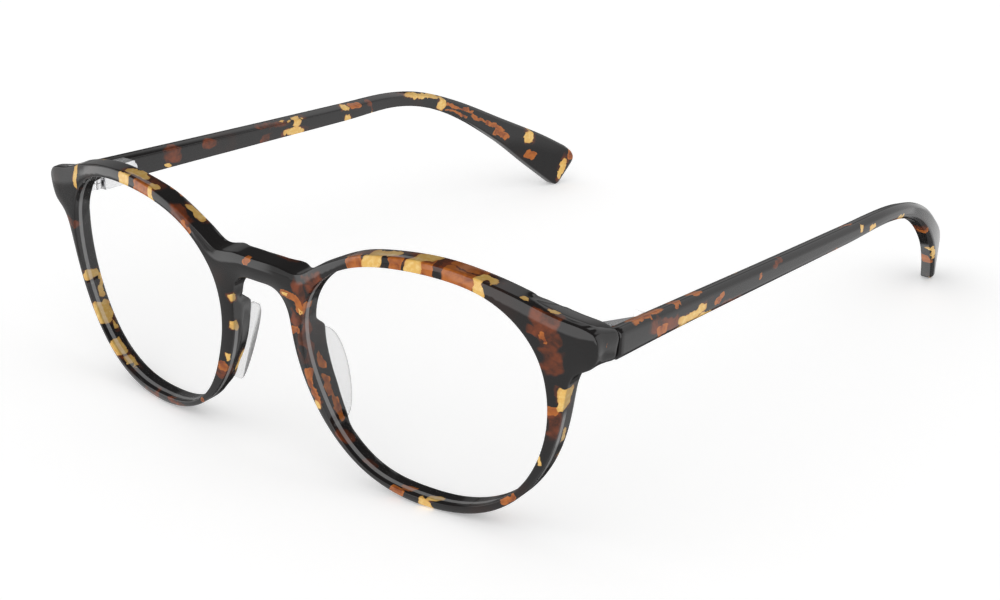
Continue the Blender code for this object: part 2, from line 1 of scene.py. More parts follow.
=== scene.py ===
"""Looks for the full-rim acetate glasses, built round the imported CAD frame.

The front, lenses, pads, temples and spring housings are made again here with
their fine surfaces: rounded edges, a crowned front, sculpted nose sides and
polished tortoiseshell acetate. Lengths are in millimetres until mesh_piece().
The front is drawn in its own plane: u across, v up, w back from its surface.
"""
import math

import bmesh
import bpy
import numpy as np
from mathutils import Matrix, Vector
from mathutils.geometry import delaunay_2d_cdt


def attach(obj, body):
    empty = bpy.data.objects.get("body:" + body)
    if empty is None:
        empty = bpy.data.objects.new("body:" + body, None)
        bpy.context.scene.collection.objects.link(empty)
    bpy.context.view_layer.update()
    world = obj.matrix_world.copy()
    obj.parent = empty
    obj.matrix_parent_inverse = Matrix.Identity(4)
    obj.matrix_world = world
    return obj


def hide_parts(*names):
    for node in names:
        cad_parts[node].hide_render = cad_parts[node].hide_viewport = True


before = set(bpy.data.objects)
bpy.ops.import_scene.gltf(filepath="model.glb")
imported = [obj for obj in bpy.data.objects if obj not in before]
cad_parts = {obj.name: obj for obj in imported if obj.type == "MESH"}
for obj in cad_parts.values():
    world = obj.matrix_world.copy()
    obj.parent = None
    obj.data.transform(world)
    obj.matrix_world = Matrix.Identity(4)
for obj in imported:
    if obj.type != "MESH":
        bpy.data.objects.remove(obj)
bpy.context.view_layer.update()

MM = 0.001
SIDES = {"left": 1, "right": -1}

# ---------- main sizes
# Most are the CAD's. The end pieces' outline and the pads follow the photograph more closely.
MIDDLE = 77.47
FRONT_REST = 0.127
FRONT_TILT = math.radians(3.9)
FRONT_BOW_RADIUS = 251.5
RIM_DEPTH = 4.2
FRONT_OUTLINE = (
    (0.0, 34.2), (4.2, 33.8), (6.4, 31.4), (7.3, 26.0), (9.4, 17.4), (14.1, 9.2), (20.5, 3.5),
    (28.0, 0.6), (35.0, 0.0), (42.6, 1.1), (49.6, 4.9), (55.5, 12.3), (58.5, 20.2), (59.8, 26.4),
    (61.6, 30.9), (64.4, 32.7), (65.3, 34.6), (65.4, 37.3), (64.4, 38.9), (60.0, 40.3),
    (53.5, 42.5), (46.8, 44.5), (37.9, 45.8), (29.2, 45.4), (22.4, 44.1), (16.6, 41.6),
    (12.9, 39.6), (9.9, 38.0), (6.0, 38.3), (0.0, 38.4),
)
LENS_CENTRE = (33.5, 22.9)
LENS_HALF = (23.6, 21.0)
LENS_OPENING = (
    (57.1, 24.3), (55.0, 14.6), (49.4, 6.5), (40.7, 2.3), (31.5, 1.8), (22.9, 3.5), (16.1, 8.9),
    (12.2, 16.3), (10.1, 24.3), (11.1, 32.8), (16.6, 39.3), (24.0, 42.6), (31.5, 43.7),
    (39.5, 43.6), (48.6, 41.2), (55.3, 34.2),
)
HINGE_AXIS = (61.2, 13.7, 35.5)
TEMPLE_SLOPE = math.radians(3.0)
JOINT_PLANE = -2.0
JOINT_GAP = 0.15
END_HALF_HEIGHT = 2.6
END_FLARE = 0.5  # how much wider the end pieces are at the joint
TEMPLE_INNER = 1.6
TEMPLE_THICKNESS = 3.3
TEMPLE_STATIONS = (
    (JOINT_PLANE + JOINT_GAP, 0.0, 2.6), (15.0, 0.1, 2.28), (44.0, 0.1, 1.98), (74.0, 0.15, 1.75),
    (90.0, 0.25, 1.52), (100.5, -1.3, 1.62), (112.0, -5.4, 1.9), (125.0, -12.4, 2.85),
    (135.0, -18.7, 4.3), (143.6, -24.62, 5.2),
)
INWARD_START = 84.0
INWARD_RADIUS = 137.0
TWIST_SPAN = (100.0, 130.0)
TWIST = 0.22
TIP_ROUNDING = (1.7, 3.4)
PAD_HALF_LENGTH = 8.3
PAD_BULGE = 3.5
PAD_TAPER = 0.22  # how much less the pad bulges at its lower end
PAD_THICKNESS = 1.8
PAD_CENTRE = (10.7, 17.5, 5.95)
PAD_ALONG = (-4.5, 14.5, 1.4)
PAD_SPLAY = math.radians(20.0)

# ---------- fine shape
FRONT_EDGE = 0.32  # rounding where the walls meet the front face
BACK_EDGE = 0.5  # and where they meet the back face
NOSE_CHAMFER = 0.7  # how far the nose's outer wall is set in at the back
CHAMFER_START = 0.45  # the share of the wall's depth where that begins
BRIDGE_EXTRA = 0.5  # how much thicker than the rims the bridge is
BRIDGE_RIB = 1.1  # and how much more where it meets them
BRIDGE_RIB_PLACE = 7.6
BRIDGE_RIB_WIDTH = 1.9
NOSE_LEVELS = ((3.0, 7.5, 11.0, 16.0, 23.5, 26.5), (-0.9, -0.5, 0.6, 1.3, 1.75, 2.0))  # heights, build-up
NOSE_HOLLOW = 0.8  # how much thinner the front is just above the build-ups
BLOCK_START = ((32.0, 35.5, 38.5), (58.6, 57.2, 53.7))  # heights, places across
BLOCK_SPREAD = 2.3
# The end pieces' taper: (places across, heights) on the front and at the joint.
END_TOP = ((54.0, 57.0, 60.0, 64.4, 65.4), (42.3, 41.4, 40.3, 38.9, 38.1))
END_BOTTOM = ((60.0, 61.6, 64.4, 65.4), (30.4, 30.9, 32.7, 33.8))
JOINT_TOP = ((56.0, 58.0, 62.0, 65.4), (38.6, 38.4, 38.0, 37.5))
JOINT_MIDDLE = 34.9  # height of the end pieces' middle there
FRONT_MIDDLE = 35.85  # and at the front surface
MIDDLE_SLOPE = -0.068  # how the middle's height changes with depth
TAPER_START = 2.2  # depth behind the front surface
CROWN_WIDTH = 3.4  # the front surface falls away this close to its outline
CROWN_DROP = 0.55
LENS_EDGE = ((0.05, 1.2), (0.5, 2.1), (0.05, 3.0))  # (growth into the rim, depth) round the lens
TEMPLE_ROOT_EDGE = 0.35  # rounding at the joint
TEMPLE_TIP_EDGE = 1.1  # rounding of the tip's flat sides
TEMPLE_TIP_FLATNESS = 0.75  # how much of that rounding is kept
LOWER_BEVEL = (0.26, 0.95)  # share of the temple's thickness, height
UPPER_BEVEL = (0.28, 0.6)
UPPER_RISE = 0.2  # how far the top edge rises above the outer face
INNER_FALL = 0.65  # how much lower than the outer face's top the inner face's is
PAD_RIM = 0.45
PAD_FULLNESS = 0.85  # 1 is an ellipse, less is fuller
HOUSING_BEVEL = 0.14  # width of the housings' broken edges
HOUSING_SKIN = 1.6  # the housings' tops and bottoms are this far from their middles or more
HOUSING_GROWTH = {"left": -0.1, "right": 0.5}  # how much further out they stand than the CAD solids'
HOUSING_FALL = {"left": 0.15, "right": 0.0}  # how steeply the tops fall towards the back
BASE_STEP = 0.45  # spacing of points along the outlines
FACE_STEP = 0.8  # spacing of points inside the faces
LENS_STEP = 3.0  # and inside the lenses' faces
TEMPLE_STEP = 1.1  # spacing of the temples' sections
ROUNDING_STEPS = 4  # rings in each of the front's rounded edges
WALL_ROWS = 9
TIP_STEPS = 12
PAD_STEPS = 28
PAD_LAYERS = 7
SPAN_POINTS = 40  # on an outline between two of its knots
KNOT_POWER = 0.75  # of the distance between knots, for the outlines' even bends
GRID_ROW = 0.87  # distance between rows of a triangle grid, in steps
GRID_CLEARANCE = 0.55  # least distance from a face's outline to its grid, in steps
WELD = 2e-6  # metres within which points are joined


# ---------- helpers
def smooth(value, low, high):
    """0 below low, 1 above high, smooth between."""
    share = np.clip((np.asarray(value, float) - low) / (high - low), 0.0, 1.0)
    return share * share * (3 - 2 * share)


def mesh_piece(name, points, faces, material, body):
    """Make an object from points in millimetres, shade it smooth and let it ride on a body."""
    mesh = bpy.data.meshes.new(name)
    mesh.from_pydata((np.asarray(points, float) * MM).tolist(), [], [list(map(int, f)) for f in faces])
    shape = bmesh.new()
    shape.from_mesh(mesh)
    bmesh.ops.remove_doubles(shape, verts=shape.verts, dist=WELD)
    bmesh.ops.recalc_face_normals(shape, faces=shape.faces)
    shape.to_mesh(mesh)
    shape.free()
    mesh.shade_smooth()
    piece = bpy.data.objects.new(name, mesh)
    bpy.context.scene.collection.objects.link(piece)
    mesh.materials.append(material)
    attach(piece, body)
    return piece


def closed_spline(knots, spacing):
    """Points evenly spaced on a smooth closed curve through the knots."""
    knots = np.asarray(knots, float)
    count = len(knots)
    steps = np.linalg.norm(np.roll(knots, -1, axis=0) - knots, axis=1) ** KNOT_POWER
    system = np.zeros((count, count))
    right = np.zeros((count, 2))
    for i in range(count):
        before, after = steps[i - 1], steps[i]
        system[i, i - 1] += before
        system[i, i] += 2 * (before + after)
        system[i, (i + 1) % count] += after
        right[i] = 6 * ((knots[(i + 1) % count] - knots[i]) / after - (knots[i] - knots[i - 1]) / before)
    bend = np.linalg.solve(system, right)
    dense = []
    for i in range(count):
        j = (i + 1) % count
        h = steps[i]
        t = np.linspace(0, h, SPAN_POINTS, endpoint=False)[:, None]
        dense.append(bend[i] * (h - t) ** 3 / (6 * h) + bend[j] * t ** 3 / (6 * h)
                     + (knots[i] / h - bend[i] * h / 6) * (h - t) + (knots[j] / h - bend[j] * h / 6) * t)
    dense = np.concatenate(dense)
    ring = np.vstack([dense, dense[:1]])
    along = np.concatenate([[0], np.cumsum(np.linalg.norm(np.diff(ring, axis=0), axis=1))])
    number = int(round(along[-1] / spacing))
    at = np.linspace(0, along[-1], number, endpoint=False)
    return np.column_stack([np.interp(at, along, ring[:, 0]), np.interp(at, along, ring[:, 1])])


def outward_normals(loop):
    """Unit normals of a closed loop, pointing away from the area it encloses."""
    ahead = np.roll(loop, -1, axis=0) - np.roll(loop, 1, axis=0)
    normals = np.column_stack([ahead[:, 1], -ahead[:, 0]])
    normals /= np.linalg.norm(normals, axis=1)[:, None]
    area = np.sum(loop[:, 0] * np.roll(loop[:, 1], -1) - np.roll(loop[:, 0], -1) * loop[:, 1])
    return normals if area > 0 else -normals


def inside(points, loop):
    """Which points lie inside a closed loop."""
    result = np.zeros(len(points), bool)
    for (ax, ay), (bx, by) in zip(loop, np.roll(loop, -1, axis=0)):
        crosses = (ay > points[:, 1]) != (by > points[:, 1])
        if not crosses.any():
            continue
        where = ax + (points[:, 1] - ay) * (bx - ax) / (by - ay + 1e-12)
        result ^= crosses & (points[:, 0] < where)
    return result


def distance_to(points, loop):
    """Distance from each point to a closed loop."""
    best = np.full(len(points), np.inf)
    for start, end in zip(loop, np.roll(loop, -1, axis=0)):
        run = end - start
        near = np.abs(points - start).max(axis=1) < best + 1.0
        if not near.any():
            continue
        offset = points[near] - start
        share = np.clip(offset @ run / (run @ run), 0.0, 1.0)
        best[near] = np.minimum(best[near], np.linalg.norm(offset - share[:, None] * run, axis=1))
    return best


def fill(outer, holes, step):
    """Triangles over the area inside outer and outside the holes, with points spread through it."""
    low, high = outer.min(axis=0), outer.max(axis=0)
    rows = []
    for index, v in enumerate(np.arange(low[1], high[1], step * GRID_ROW)):
        across = np.arange(low[0] + (index % 2) * step / 2, high[0], step)
        rows.append(np.column_stack([across, np.full(len(across), v)]))
    spread = np.concatenate(rows)
    spread = spread[inside(spread, outer)]
    for hole in holes:
        spread = spread[~inside(spread, hole)]
    for loop in [outer] + holes:
        spread = spread[distance_to(spread, loop) > step * GRID_CLEARANCE]
    points = [outer] + holes + [spread]
    edges = []
    start = 0
    for loop in [outer] + holes:
        edges += [(start + i, start + (i + 1) % len(loop)) for i in range(len(loop))]
        start += len(loop)
    points = np.concatenate(points)
    found = delaunay_2d_cdt([Vector(p) for p in points], edges, [], 0, 1e-7)
    flat = np.array([tuple(p) for p in found[0]])
    triangles = np.array([f for f in found[2] if len(f) == 3])
    middles = flat[triangles].mean(axis=1)
    keep = inside(middles, outer)
    for hole in holes:
        keep &= ~inside(middles, hole)
    return flat, triangles[keep]


def band(start, number):
    """Faces between a ring of points and the next one."""
    ring = []
    for i in range(number):
        j = (i + 1) % number
        ring.append((start + i, start + j, start + number + j, start + number + i))
    return ring


def closed_tube(rings, number):
    """Faces of a tube of rings with that number of points each, with a lid on both ends."""
    faces = []
    for index in range(rings - 1):
        faces += band(index * number, number)
    faces.append(tuple(range(number)))
    faces.append(tuple(range((rings - 1) * number, rings * number)))
    return faces


# ---------- materials
def new_material(name):
    """A material with nodes, its tree and its shader."""
    material = bpy.data.materials.new(name)
    material.use_nodes = True
    shader = material.node_tree.nodes["Principled BSDF"]
    return material, material.node_tree, shader


class Graph:
    """Short calls for building a material's nodes."""

    def __init__(self, tree):
        self.tree = tree

    def add(self, kind, **settings):
        node = self.tree.nodes.new(kind)
        for key, value in settings.items():
            setattr(node, key, value)
        return node

    def link(self, source, target):
        self.tree.links.new(source, target)

    def put(self, socket, value):
        if isinstance(value, bpy.types.NodeSocket):
            self.link(value, socket)
        else:
            socket.default_value = value

    def math(self, operation, a, b=0.0):
        node = self.add("ShaderNodeMath", operation=operation)
        for socket, value in zip(node.inputs, (a, b)):
            self.put(socket, value)
        return node.outputs[0]

    def vector(self, operation, a, b=(0, 0, 0), scale=None):
        node = self.add("ShaderNodeVectorMath", operation=operation)
        self.put(node.inputs[0], a)
        self.put(node.inputs[1], b)
        if scale is not None:
            self.put(node.inputs["Scale"], scale)
        return node.outputs["Value" if operation in ("LENGTH", "DOT_PRODUCT") else "Vector"]

    def split(self, vector):
        node = self.add("ShaderNodeSeparateXYZ")
        self.put(node.inputs[0], vector)
        return node.outputs

    def combine(self, x, y, z):
        node = self.add("ShaderNodeCombineXYZ")
        for socket, value in zip(node.inputs, (x, y, z)):
            self.put(socket, value)
        return node.outputs[0]

    def local(self, origin, rotation, signs):
        """Object coordinates in millimetres along axes turned about the given origin."""
        node = self.add("ShaderNodeMapping", vector_type="TEXTURE")
        self.put(node.inputs["Vector"], self.add("ShaderNodeTexCoord").outputs["Object"])
        node.inputs["Location"].default_value = tuple(c * MM for c in origin)
        node.inputs["Rotation"].default_value = rotation
        node.inputs["Scale"].default_value = tuple(sign * MM for sign in signs)
        return node.outputs[0]

    def ramp(self, value, low, high, start=0.0, end=1.0, curve="SMOOTHSTEP"):
        node = self.add("ShaderNodeMapRange", interpolation_type=curve)
        for socket, item in zip(node.inputs, (value, low, high, start, end)):
            self.put(socket, item)
        return node.outputs[0]

    def noise(self, where, scale, detail=2.0, roughness=0.5, output="Fac"):
        node = self.add("ShaderNodeTexNoise")
        self.put(node.inputs["Vector"], where)
        node.inputs["Scale"].default_value = scale
        node.inputs["Detail"].default_value = detail
        node.inputs["Roughness"].default_value = roughness
        return node.outputs[output]

    def mix(self, share, a, b):
        node = self.add("ShaderNodeMix", data_type="RGBA")
        for socket, value in ((node.inputs[0], share), (node.inputs[6], a), (node.inputs[7], b)):
            self.put(socket, value)
        return node.outputs[2]


CHARCOAL = (0.012, 0.011, 0.011, 1.0)
DEEP_BROWN = (0.045, 0.014, 0.007, 1.0)
RED_BROWN = (0.19, 0.042, 0.012, 1.0)
AMBER_TONE = (0.46, 0.135, 0.022, 1.0)
HONEY_TONE = (0.78, 0.47, 0.12, 1.0)
PALE_HONEY = (0.86, 0.60, 0.22, 1.0)
WHITE = (1.0, 1.0, 1.0, 1.0)
PAINTED_LENS_HIGHLIGHT = 0.17  # how much white is painted on as a highlight where the lens's edge catches the light
HIGHLIGHT_DEPTHS = (1.15, 1.25, 1.95, 2.05)
HIGHLIGHT_REACH = (1.08, 1.10)  # of the walls round the lenses, in half widths of a lens
PAINTED_WALL_SHADE = 0.42  # how much painted shade darkens the flecks on the walls
PAINTED_SHADE_DEPTHS = (0.6, 1.0, 3.6, 4.1)
CHIP_FREQUENCY = 0.9  # facets on the flecks' edges, per millimetre
CHIP_FACETS = 0.34  # how angular those edges are
# (Waves per millimetre, reach in millimetres) of the noise that moves the flecks' edges.
EDGE_DRIFTS = ((0.22, 2.2), (0.8, 0.55))
CLOUD_DRIFT = (0.4, 2.6)
STREAK_DRIFT = (0.3, 3.0)
ACETATE_IOR = 1.49
ACETATE_ROUGHNESS = (0.03, 0.06)
ACETATE_WAVES = 0.22  # of the polished surface, per millimetre
ACETATE_WAVE_STRENGTH = 0.004
ACETATE_WAVE_HEIGHT = 0.0002  # in metres
CLEAR_IOR = 1.5
HONEY, AMBER, RED = "honey", "amber", "red"


def front_place(g):
    """The front's own (u, v, depth behind its bowed surface), in millimetres."""
    place = g.local((0.0, -MIDDLE, -FRONT_REST), (FRONT_TILT, 0.0, 0.0), (1, 1, 1))
    u, w, v = g.split(place)
    bowed = g.math("MULTIPLY", g.math("MULTIPLY", u, u), 1 / (2 * FRONT_BOW_RADIUS))
    return g.combine(u, v, g.math("SUBTRACT", w, bowed))


def painted_lens_highlight(g, where):
    """1 along the middle of the walls round the lenses, where a highlight from the lens's edge catching the
    light is painted in.
    """
    u, v, depth = g.split(where)
    across = g.math("DIVIDE", g.math("SUBTRACT", g.math("ABSOLUTE", u), LENS_CENTRE[0]), LENS_HALF[0])
    up = g.math("DIVIDE", g.math("SUBTRACT", v, LENS_CENTRE[1]), LENS_HALF[1])
    reach = g.vector("LENGTH", g.combine(across, up, 0.0))
    start, bright, dim, end = HIGHLIGHT_DEPTHS
    strip = g.math("MULTIPLY", g.ramp(depth, start, bright), g.ramp(depth, end, dim))
    near, far = HIGHLIGHT_REACH
    return g.math("MULTIPLY", strip, g.ramp(reach, far, near))


def painted_wall_shade(g, where):
    """1 on the walls between the front and back faces, where painted shade makes the flecks darker."""
    depth = g.split(where)[2]
    start, full, fading, end = PAINTED_SHADE_DEPTHS
    return g.math("MULTIPLY", g.ramp(depth, start, full), g.ramp(depth, end, fading))


def temple_place(side):
    """A function that gives a temple's own (back, up, out) from its hinge, in millimetres."""
    across, back, up = HINGE_AXIS

    def place(g):
        origin = (side * across, back - MIDDLE, up)
        out, along, height = g.split(g.local(origin, (-TEMPLE_SLOPE, 0.0, 0.0), (side, 1, 1)))
        return g.combine(along, height, out)

    return place


def tortoiseshell(name, place, flecks, seed, painted_highlight=None, shade=None):
    """Polished charcoal acetate with flecks set in it.

    Each fleck is (kind, centre, half sizes, turn): centre and half sizes are in
    millimetres in the piece's own axes, which place() gives, and turn is in degrees
    in the plane of the first two. A kind is one of HONEY, AMBER and RED. painted_highlight()
    says where white is painted on as a highlight from the lens's edge catching the light,
    and shade() where painted shade darkens the flecks.
    """
    material, tree, shader = new_material(name)
    g = Graph(tree)
    where = place(g)
    shifted = g.vector("ADD", where, (seed, seed * 0.7, -seed))

    def wobble(point, scale, amount):
        colour = g.noise(point, scale, 1.0, 0.5, "Color")
        return g.vector("SCALE", g.vector("SUBTRACT", colour, (0.5, 0.5, 0.5)), scale=amount)

    warped = where
    for scale, amount in EDGE_DRIFTS:
        warped = g.vector("ADD", warped, wobble(shifted, scale, amount))
    chips = g.add("ShaderNodeTexVoronoi", feature="F1")
    g.put(chips.inputs["Vector"], warped)
    chips.inputs["Scale"].default_value = CHIP_FREQUENCY
    faceted = g.add("ShaderNodeMix", data_type="VECTOR")
    g.put(faceted.inputs[0], CHIP_FACETS)
    g.put(faceted.inputs[4], warped)
    g.put(faceted.inputs[5], chips.outputs["Position"])
    faceted = faceted.outputs[1]
    cloudy = g.vector("ADD", warped, wobble(shifted, *CLOUD_DRIFT))

    reaches = {}
    for kind, centre, half, turn in flecks:
        spot = g.add("ShaderNodeMapping", vector_type="TEXTURE")
        g.put(spot.inputs["Vector"], cloudy if kind == RED else faceted)
        spot.inputs["Location"].default_value = centre
        spot.inputs["Rotation"].default_value = (0, 0, math.radians(turn))
        spot.inputs["Scale"].default_value = half
        square = g.vector("MULTIPLY", spot.outputs[0], spot.outputs[0])
        fourth = g.vector("DOT_PRODUCT", square, square)
        reaches[kind] = g.math("MINIMUM", reaches[kind], fourth) if kind in reaches else fourth
    honey, amber, red = (g.math("POWER", reaches[kind], 0.25) for kind in (HONEY, AMBER, RED))

    fine = g.noise(shifted, 1.5, 3.0, 0.6)
    cloud = g.noise(shifted, 0.11, 2.0, 0.5)
    streak = g.noise(g.vector("ADD", shifted, wobble(shifted, *STREAK_DRIFT)), 0.4, 3.0, 0.6)
    base = g.mix(g.ramp(cloud, 0.55, 0.75, 0.0, 0.3), CHARCOAL, DEEP_BROWN)
    base = g.mix(g.ramp(red, 1.25, 0.85), base, g.mix(g.ramp(streak, 0.3, 0.7), DEEP_BROWN, RED_BROWN))
    halo = g.math("MULTIPLY", g.ramp(honey, 1.5, 1.05), g.ramp(streak, 0.45, 0.62))
    base = g.mix(g.math("MULTIPLY", halo, 0.6), base, RED_BROWN)
    glow = g.mix(g.ramp(streak, 0.3, 0.62), RED_BROWN, AMBER_TONE)
    base = g.mix(g.ramp(amber, 1.05, 0.96), base, g.mix(g.ramp(amber, 0.75, 1.0), glow, AMBER_TONE))
    body = g.mix(g.ramp(fine, 0.4, 0.7), HONEY_TONE, PALE_HONEY)
    body = g.mix(g.ramp(honey, 0.7, 1.0, 0.0, 0.55), body, g.mix(streak, HONEY_TONE, AMBER_TONE))
    base = g.mix(g.ramp(honey, 1.03, 0.97), base, body)
    # painted shade: the flecks on the walls are darkened towards charcoal
    if shade is not None:
        base = g.mix(g.math("MULTIPLY", shade(g, where), PAINTED_WALL_SHADE), base, CHARCOAL)
    # painted highlight: white mixed into the colour where the lens's edge catches the light
    if painted_highlight is not None:
        base = g.mix(g.math("MULTIPLY", painted_highlight(g, where), PAINTED_LENS_HIGHLIGHT), base, WHITE)
    g.link(base, shader.inputs["Base Color"])

    polish = g.noise(shifted, 0.35, 2.0, 0.5)
    g.link(g.ramp(polish, 0.3, 0.7, *ACETATE_ROUGHNESS, "LINEAR"), shader.inputs["Roughness"])
    shader.inputs["IOR"].default_value = ACETATE_IOR
    bump = g.add("ShaderNodeBump")
    bump.inputs["Strength"].default_value = ACETATE_WAVE_STRENGTH
    bump.inputs["Distance"].default_value = ACETATE_WAVE_HEIGHT
    g.link(g.noise(shifted, ACETATE_WAVES, 1.0, 0.4), bump.inputs["Height"])
    g.link(bump.outputs[0], shader.inputs["Normal"])
    return material


def clear_plastic(name, colour, alpha, edge_alpha, roughness):
    """Clear moulded plastic or lens: see-through face on, denser towards its edges."""
    material, tree, shader = new_material(name)
    g = Graph(tree)
    shader.inputs["Base Color"].default_value = colour
    shader.inputs["Roughness"].default_value = roughness
    shader.inputs["IOR"].default_value = CLEAR_IOR
    facing = g.add("ShaderNodeLayerWeight").outputs["Facing"]
    facing.node.inputs["Blend"].default_value = 0.35
    g.link(g.ramp(facing, 0.35, 0.95, alpha, edge_alpha), shader.inputs["Alpha"])
    return material


def metal(name, colour, roughness, grain):
    """Bright hinge metal with a fine drawn or tumbled grain."""
    material, tree, shader = new_material(name)
    g = Graph(tree)
    place = g.add("ShaderNodeTexCoord").outputs["Object"]
    long = g.add("ShaderNodeMapping")
    g.put(long.inputs["Vector"], place)
    long.inputs["Scale"].default_value = (grain, grain * 0.08, grain)
    lines = g.noise(long.outputs[0], 1.0, 4.0, 0.6)
    dark = tuple(c * 0.82 for c in colour)
    g.link(g.mix(g.ramp(lines, 0.3, 0.7), (*dark, 1.0), (*colour, 1.0)), shader.inputs["Base Color"])
    shader.inputs["Metallic"].default_value = 1.0
    g.link(g.ramp(lines, 0.25, 0.75, roughness * 0.8, roughness * 1.25, "LINEAR"), shader.inputs["Roughness"])
    return material


# ---------- flecks
# Front: (kind, (u, v, depth behind the front surface), half sizes, turn).
RIGHT_RIM_FLECKS = (
    (HONEY, (-53.2, 40.6, 0.6), (0.7, 2.3, 2.0), -8),
    (HONEY, (-35.0, 44.6, 0.2), (1.5, 1.6, 1.0), 0),
    (HONEY, (-33.0, 45.9, 2.4), (3.2, 1.2, 0.9), 0),
    (RED, (-29.4, 45.6, 2.0), (3.8, 1.6, 1.6), -8),
    (HONEY, (-26.7, 45.2, 1.5), (1.2, 0.9, 0.6), 0),
    (AMBER, (-29.6, 44.4, 0.2), (2.3, 1.8, 1.0), 0),
    (HONEY, (-26.7, 43.8, 0.2), (0.7, 1.7, 0.9), 15),
    (RED, (-18.8, 41.9, 0.6), (2.5, 1.4, 1.0), -20),
    (AMBER, (-17.3, 40.5, 0.2), (1.5, 0.6, 0.8), -35),
    (HONEY, (-17.2, 42.0, 3.2), (2.3, 1.1, 0.8), -28),
    (HONEY, (-56.0, 18.5, 1.6), (1.5, 1.0, 1.6), 0),
    (HONEY, (-55.0, 15.8, 3.2), (1.4, 2.2, 0.5), 0),
    (HONEY, (-53.0, 11.4, 1.8), (1.8, 1.7, 2.1), -20),
    (HONEY, (-51.0, 9.2, 3.0), (1.2, 1.5, 0.5), 0),
    (HONEY, (-48.0, 5.8, 1.5), (1.8, 0.9, 1.3), -30),
    (HONEY, (-44.0, 3.7, 1.7), (2.4, 0.7, 1.1), -12),
    (RED, (-58.2, 29.5, 0.3), (1.7, 1.0, 1.0), 0),
    (AMBER, (-55.6, 10.6, 0.5), (0.4, 3.2, 0.8), 32),
    (RED, (-35.5, 1.0, 0.4), (2.4, 0.6, 0.8), 0),
    (RED, (-27.0, 1.4, 0.5), (2.4, 0.6, 0.8), -8),
    (AMBER, (-19.4, 5.2, 1.2), (0.6, 0.6, 0.9), 0),
)
NOSE_FLECKS = (
    (HONEY, (-7.1, 29.2, 0.8), (0.7, 0.9, 0.8), 20),
    (HONEY, (-7.7, 23.4, 1.1), (0.7, 0.9, 0.8), -10),
    (HONEY, (-9.9, 16.8, 0.4), (0.5, 0.7, 0.7), 0),
    (AMBER, (-11.6, 14.7, 0.4), (1.2, 0.9, 1.0), 0),
    (RED, (-11.6, 13.4, 0.8), (1.9, 1.2, 1.8), 0),
    (HONEY, (-11.0, 13.6, 4.7), (1.1, 2.8, 1.1), -25),
    (AMBER, (-2.1, 37.8, 0.2), (0.8, 1.1, 1.0), -35),
    (AMBER, (7.4, 34.1, 0.2), (1.5, 0.8, 0.8), 0),
    (AMBER, (9.4, 32.9, 0.2), (0.9, 1.9, 0.8), 28),
    (AMBER, (11.2, 32.6, 1.2), (1.1, 0.6, 1.3), 0),
    (HONEY, (7.0, 34.1, 0.1), (0.7, 0.5, 0.5), 0),
    (HONEY, (9.6, 32.3, 0.1), (0.4, 1.1, 0.5), 30),
    (RED, (10.4, 34.9, 0.3), (1.3, 2.0, 0.9), 0),
    (RED, (12.8, 38.1, 0.4), (1.6, 1.1, 0.9), 30),
    (RED, (14.4, 37.5, 0.4), (2.6, 1.7, 1.2), 45),
    (RED, (9.2, 29.8, 0.3), (1.2, 1.6, 0.9), 0),
    (AMBER, (8.6, 27.4, 0.3), (1.0, 0.7, 0.8), 15),
    (RED, (10.2, 26.0, 1.4), (1.4, 5.0, 1.0), 0),
    (AMBER, (10.7, 19.6, 0.3), (0.9, 1.0, 0.8), 0),
    (AMBER, (11.3, 16.9, 0.3), (0.7, 3.6, 0.8), 22),
    (HONEY, (12.0, 14.0, 0.4), (0.9, 0.5, 0.7), 0),
    (AMBER, (11.6, 21.5, 3.4), (1.6, 1.9, 0.6), 0),
    (AMBER, (12.5, 16.6, 2.8), (1.6, 1.9, 0.7), 25),
    (AMBER, (14.0, 12.9, 3.3), (1.3, 2.4, 0.5), 28),
)
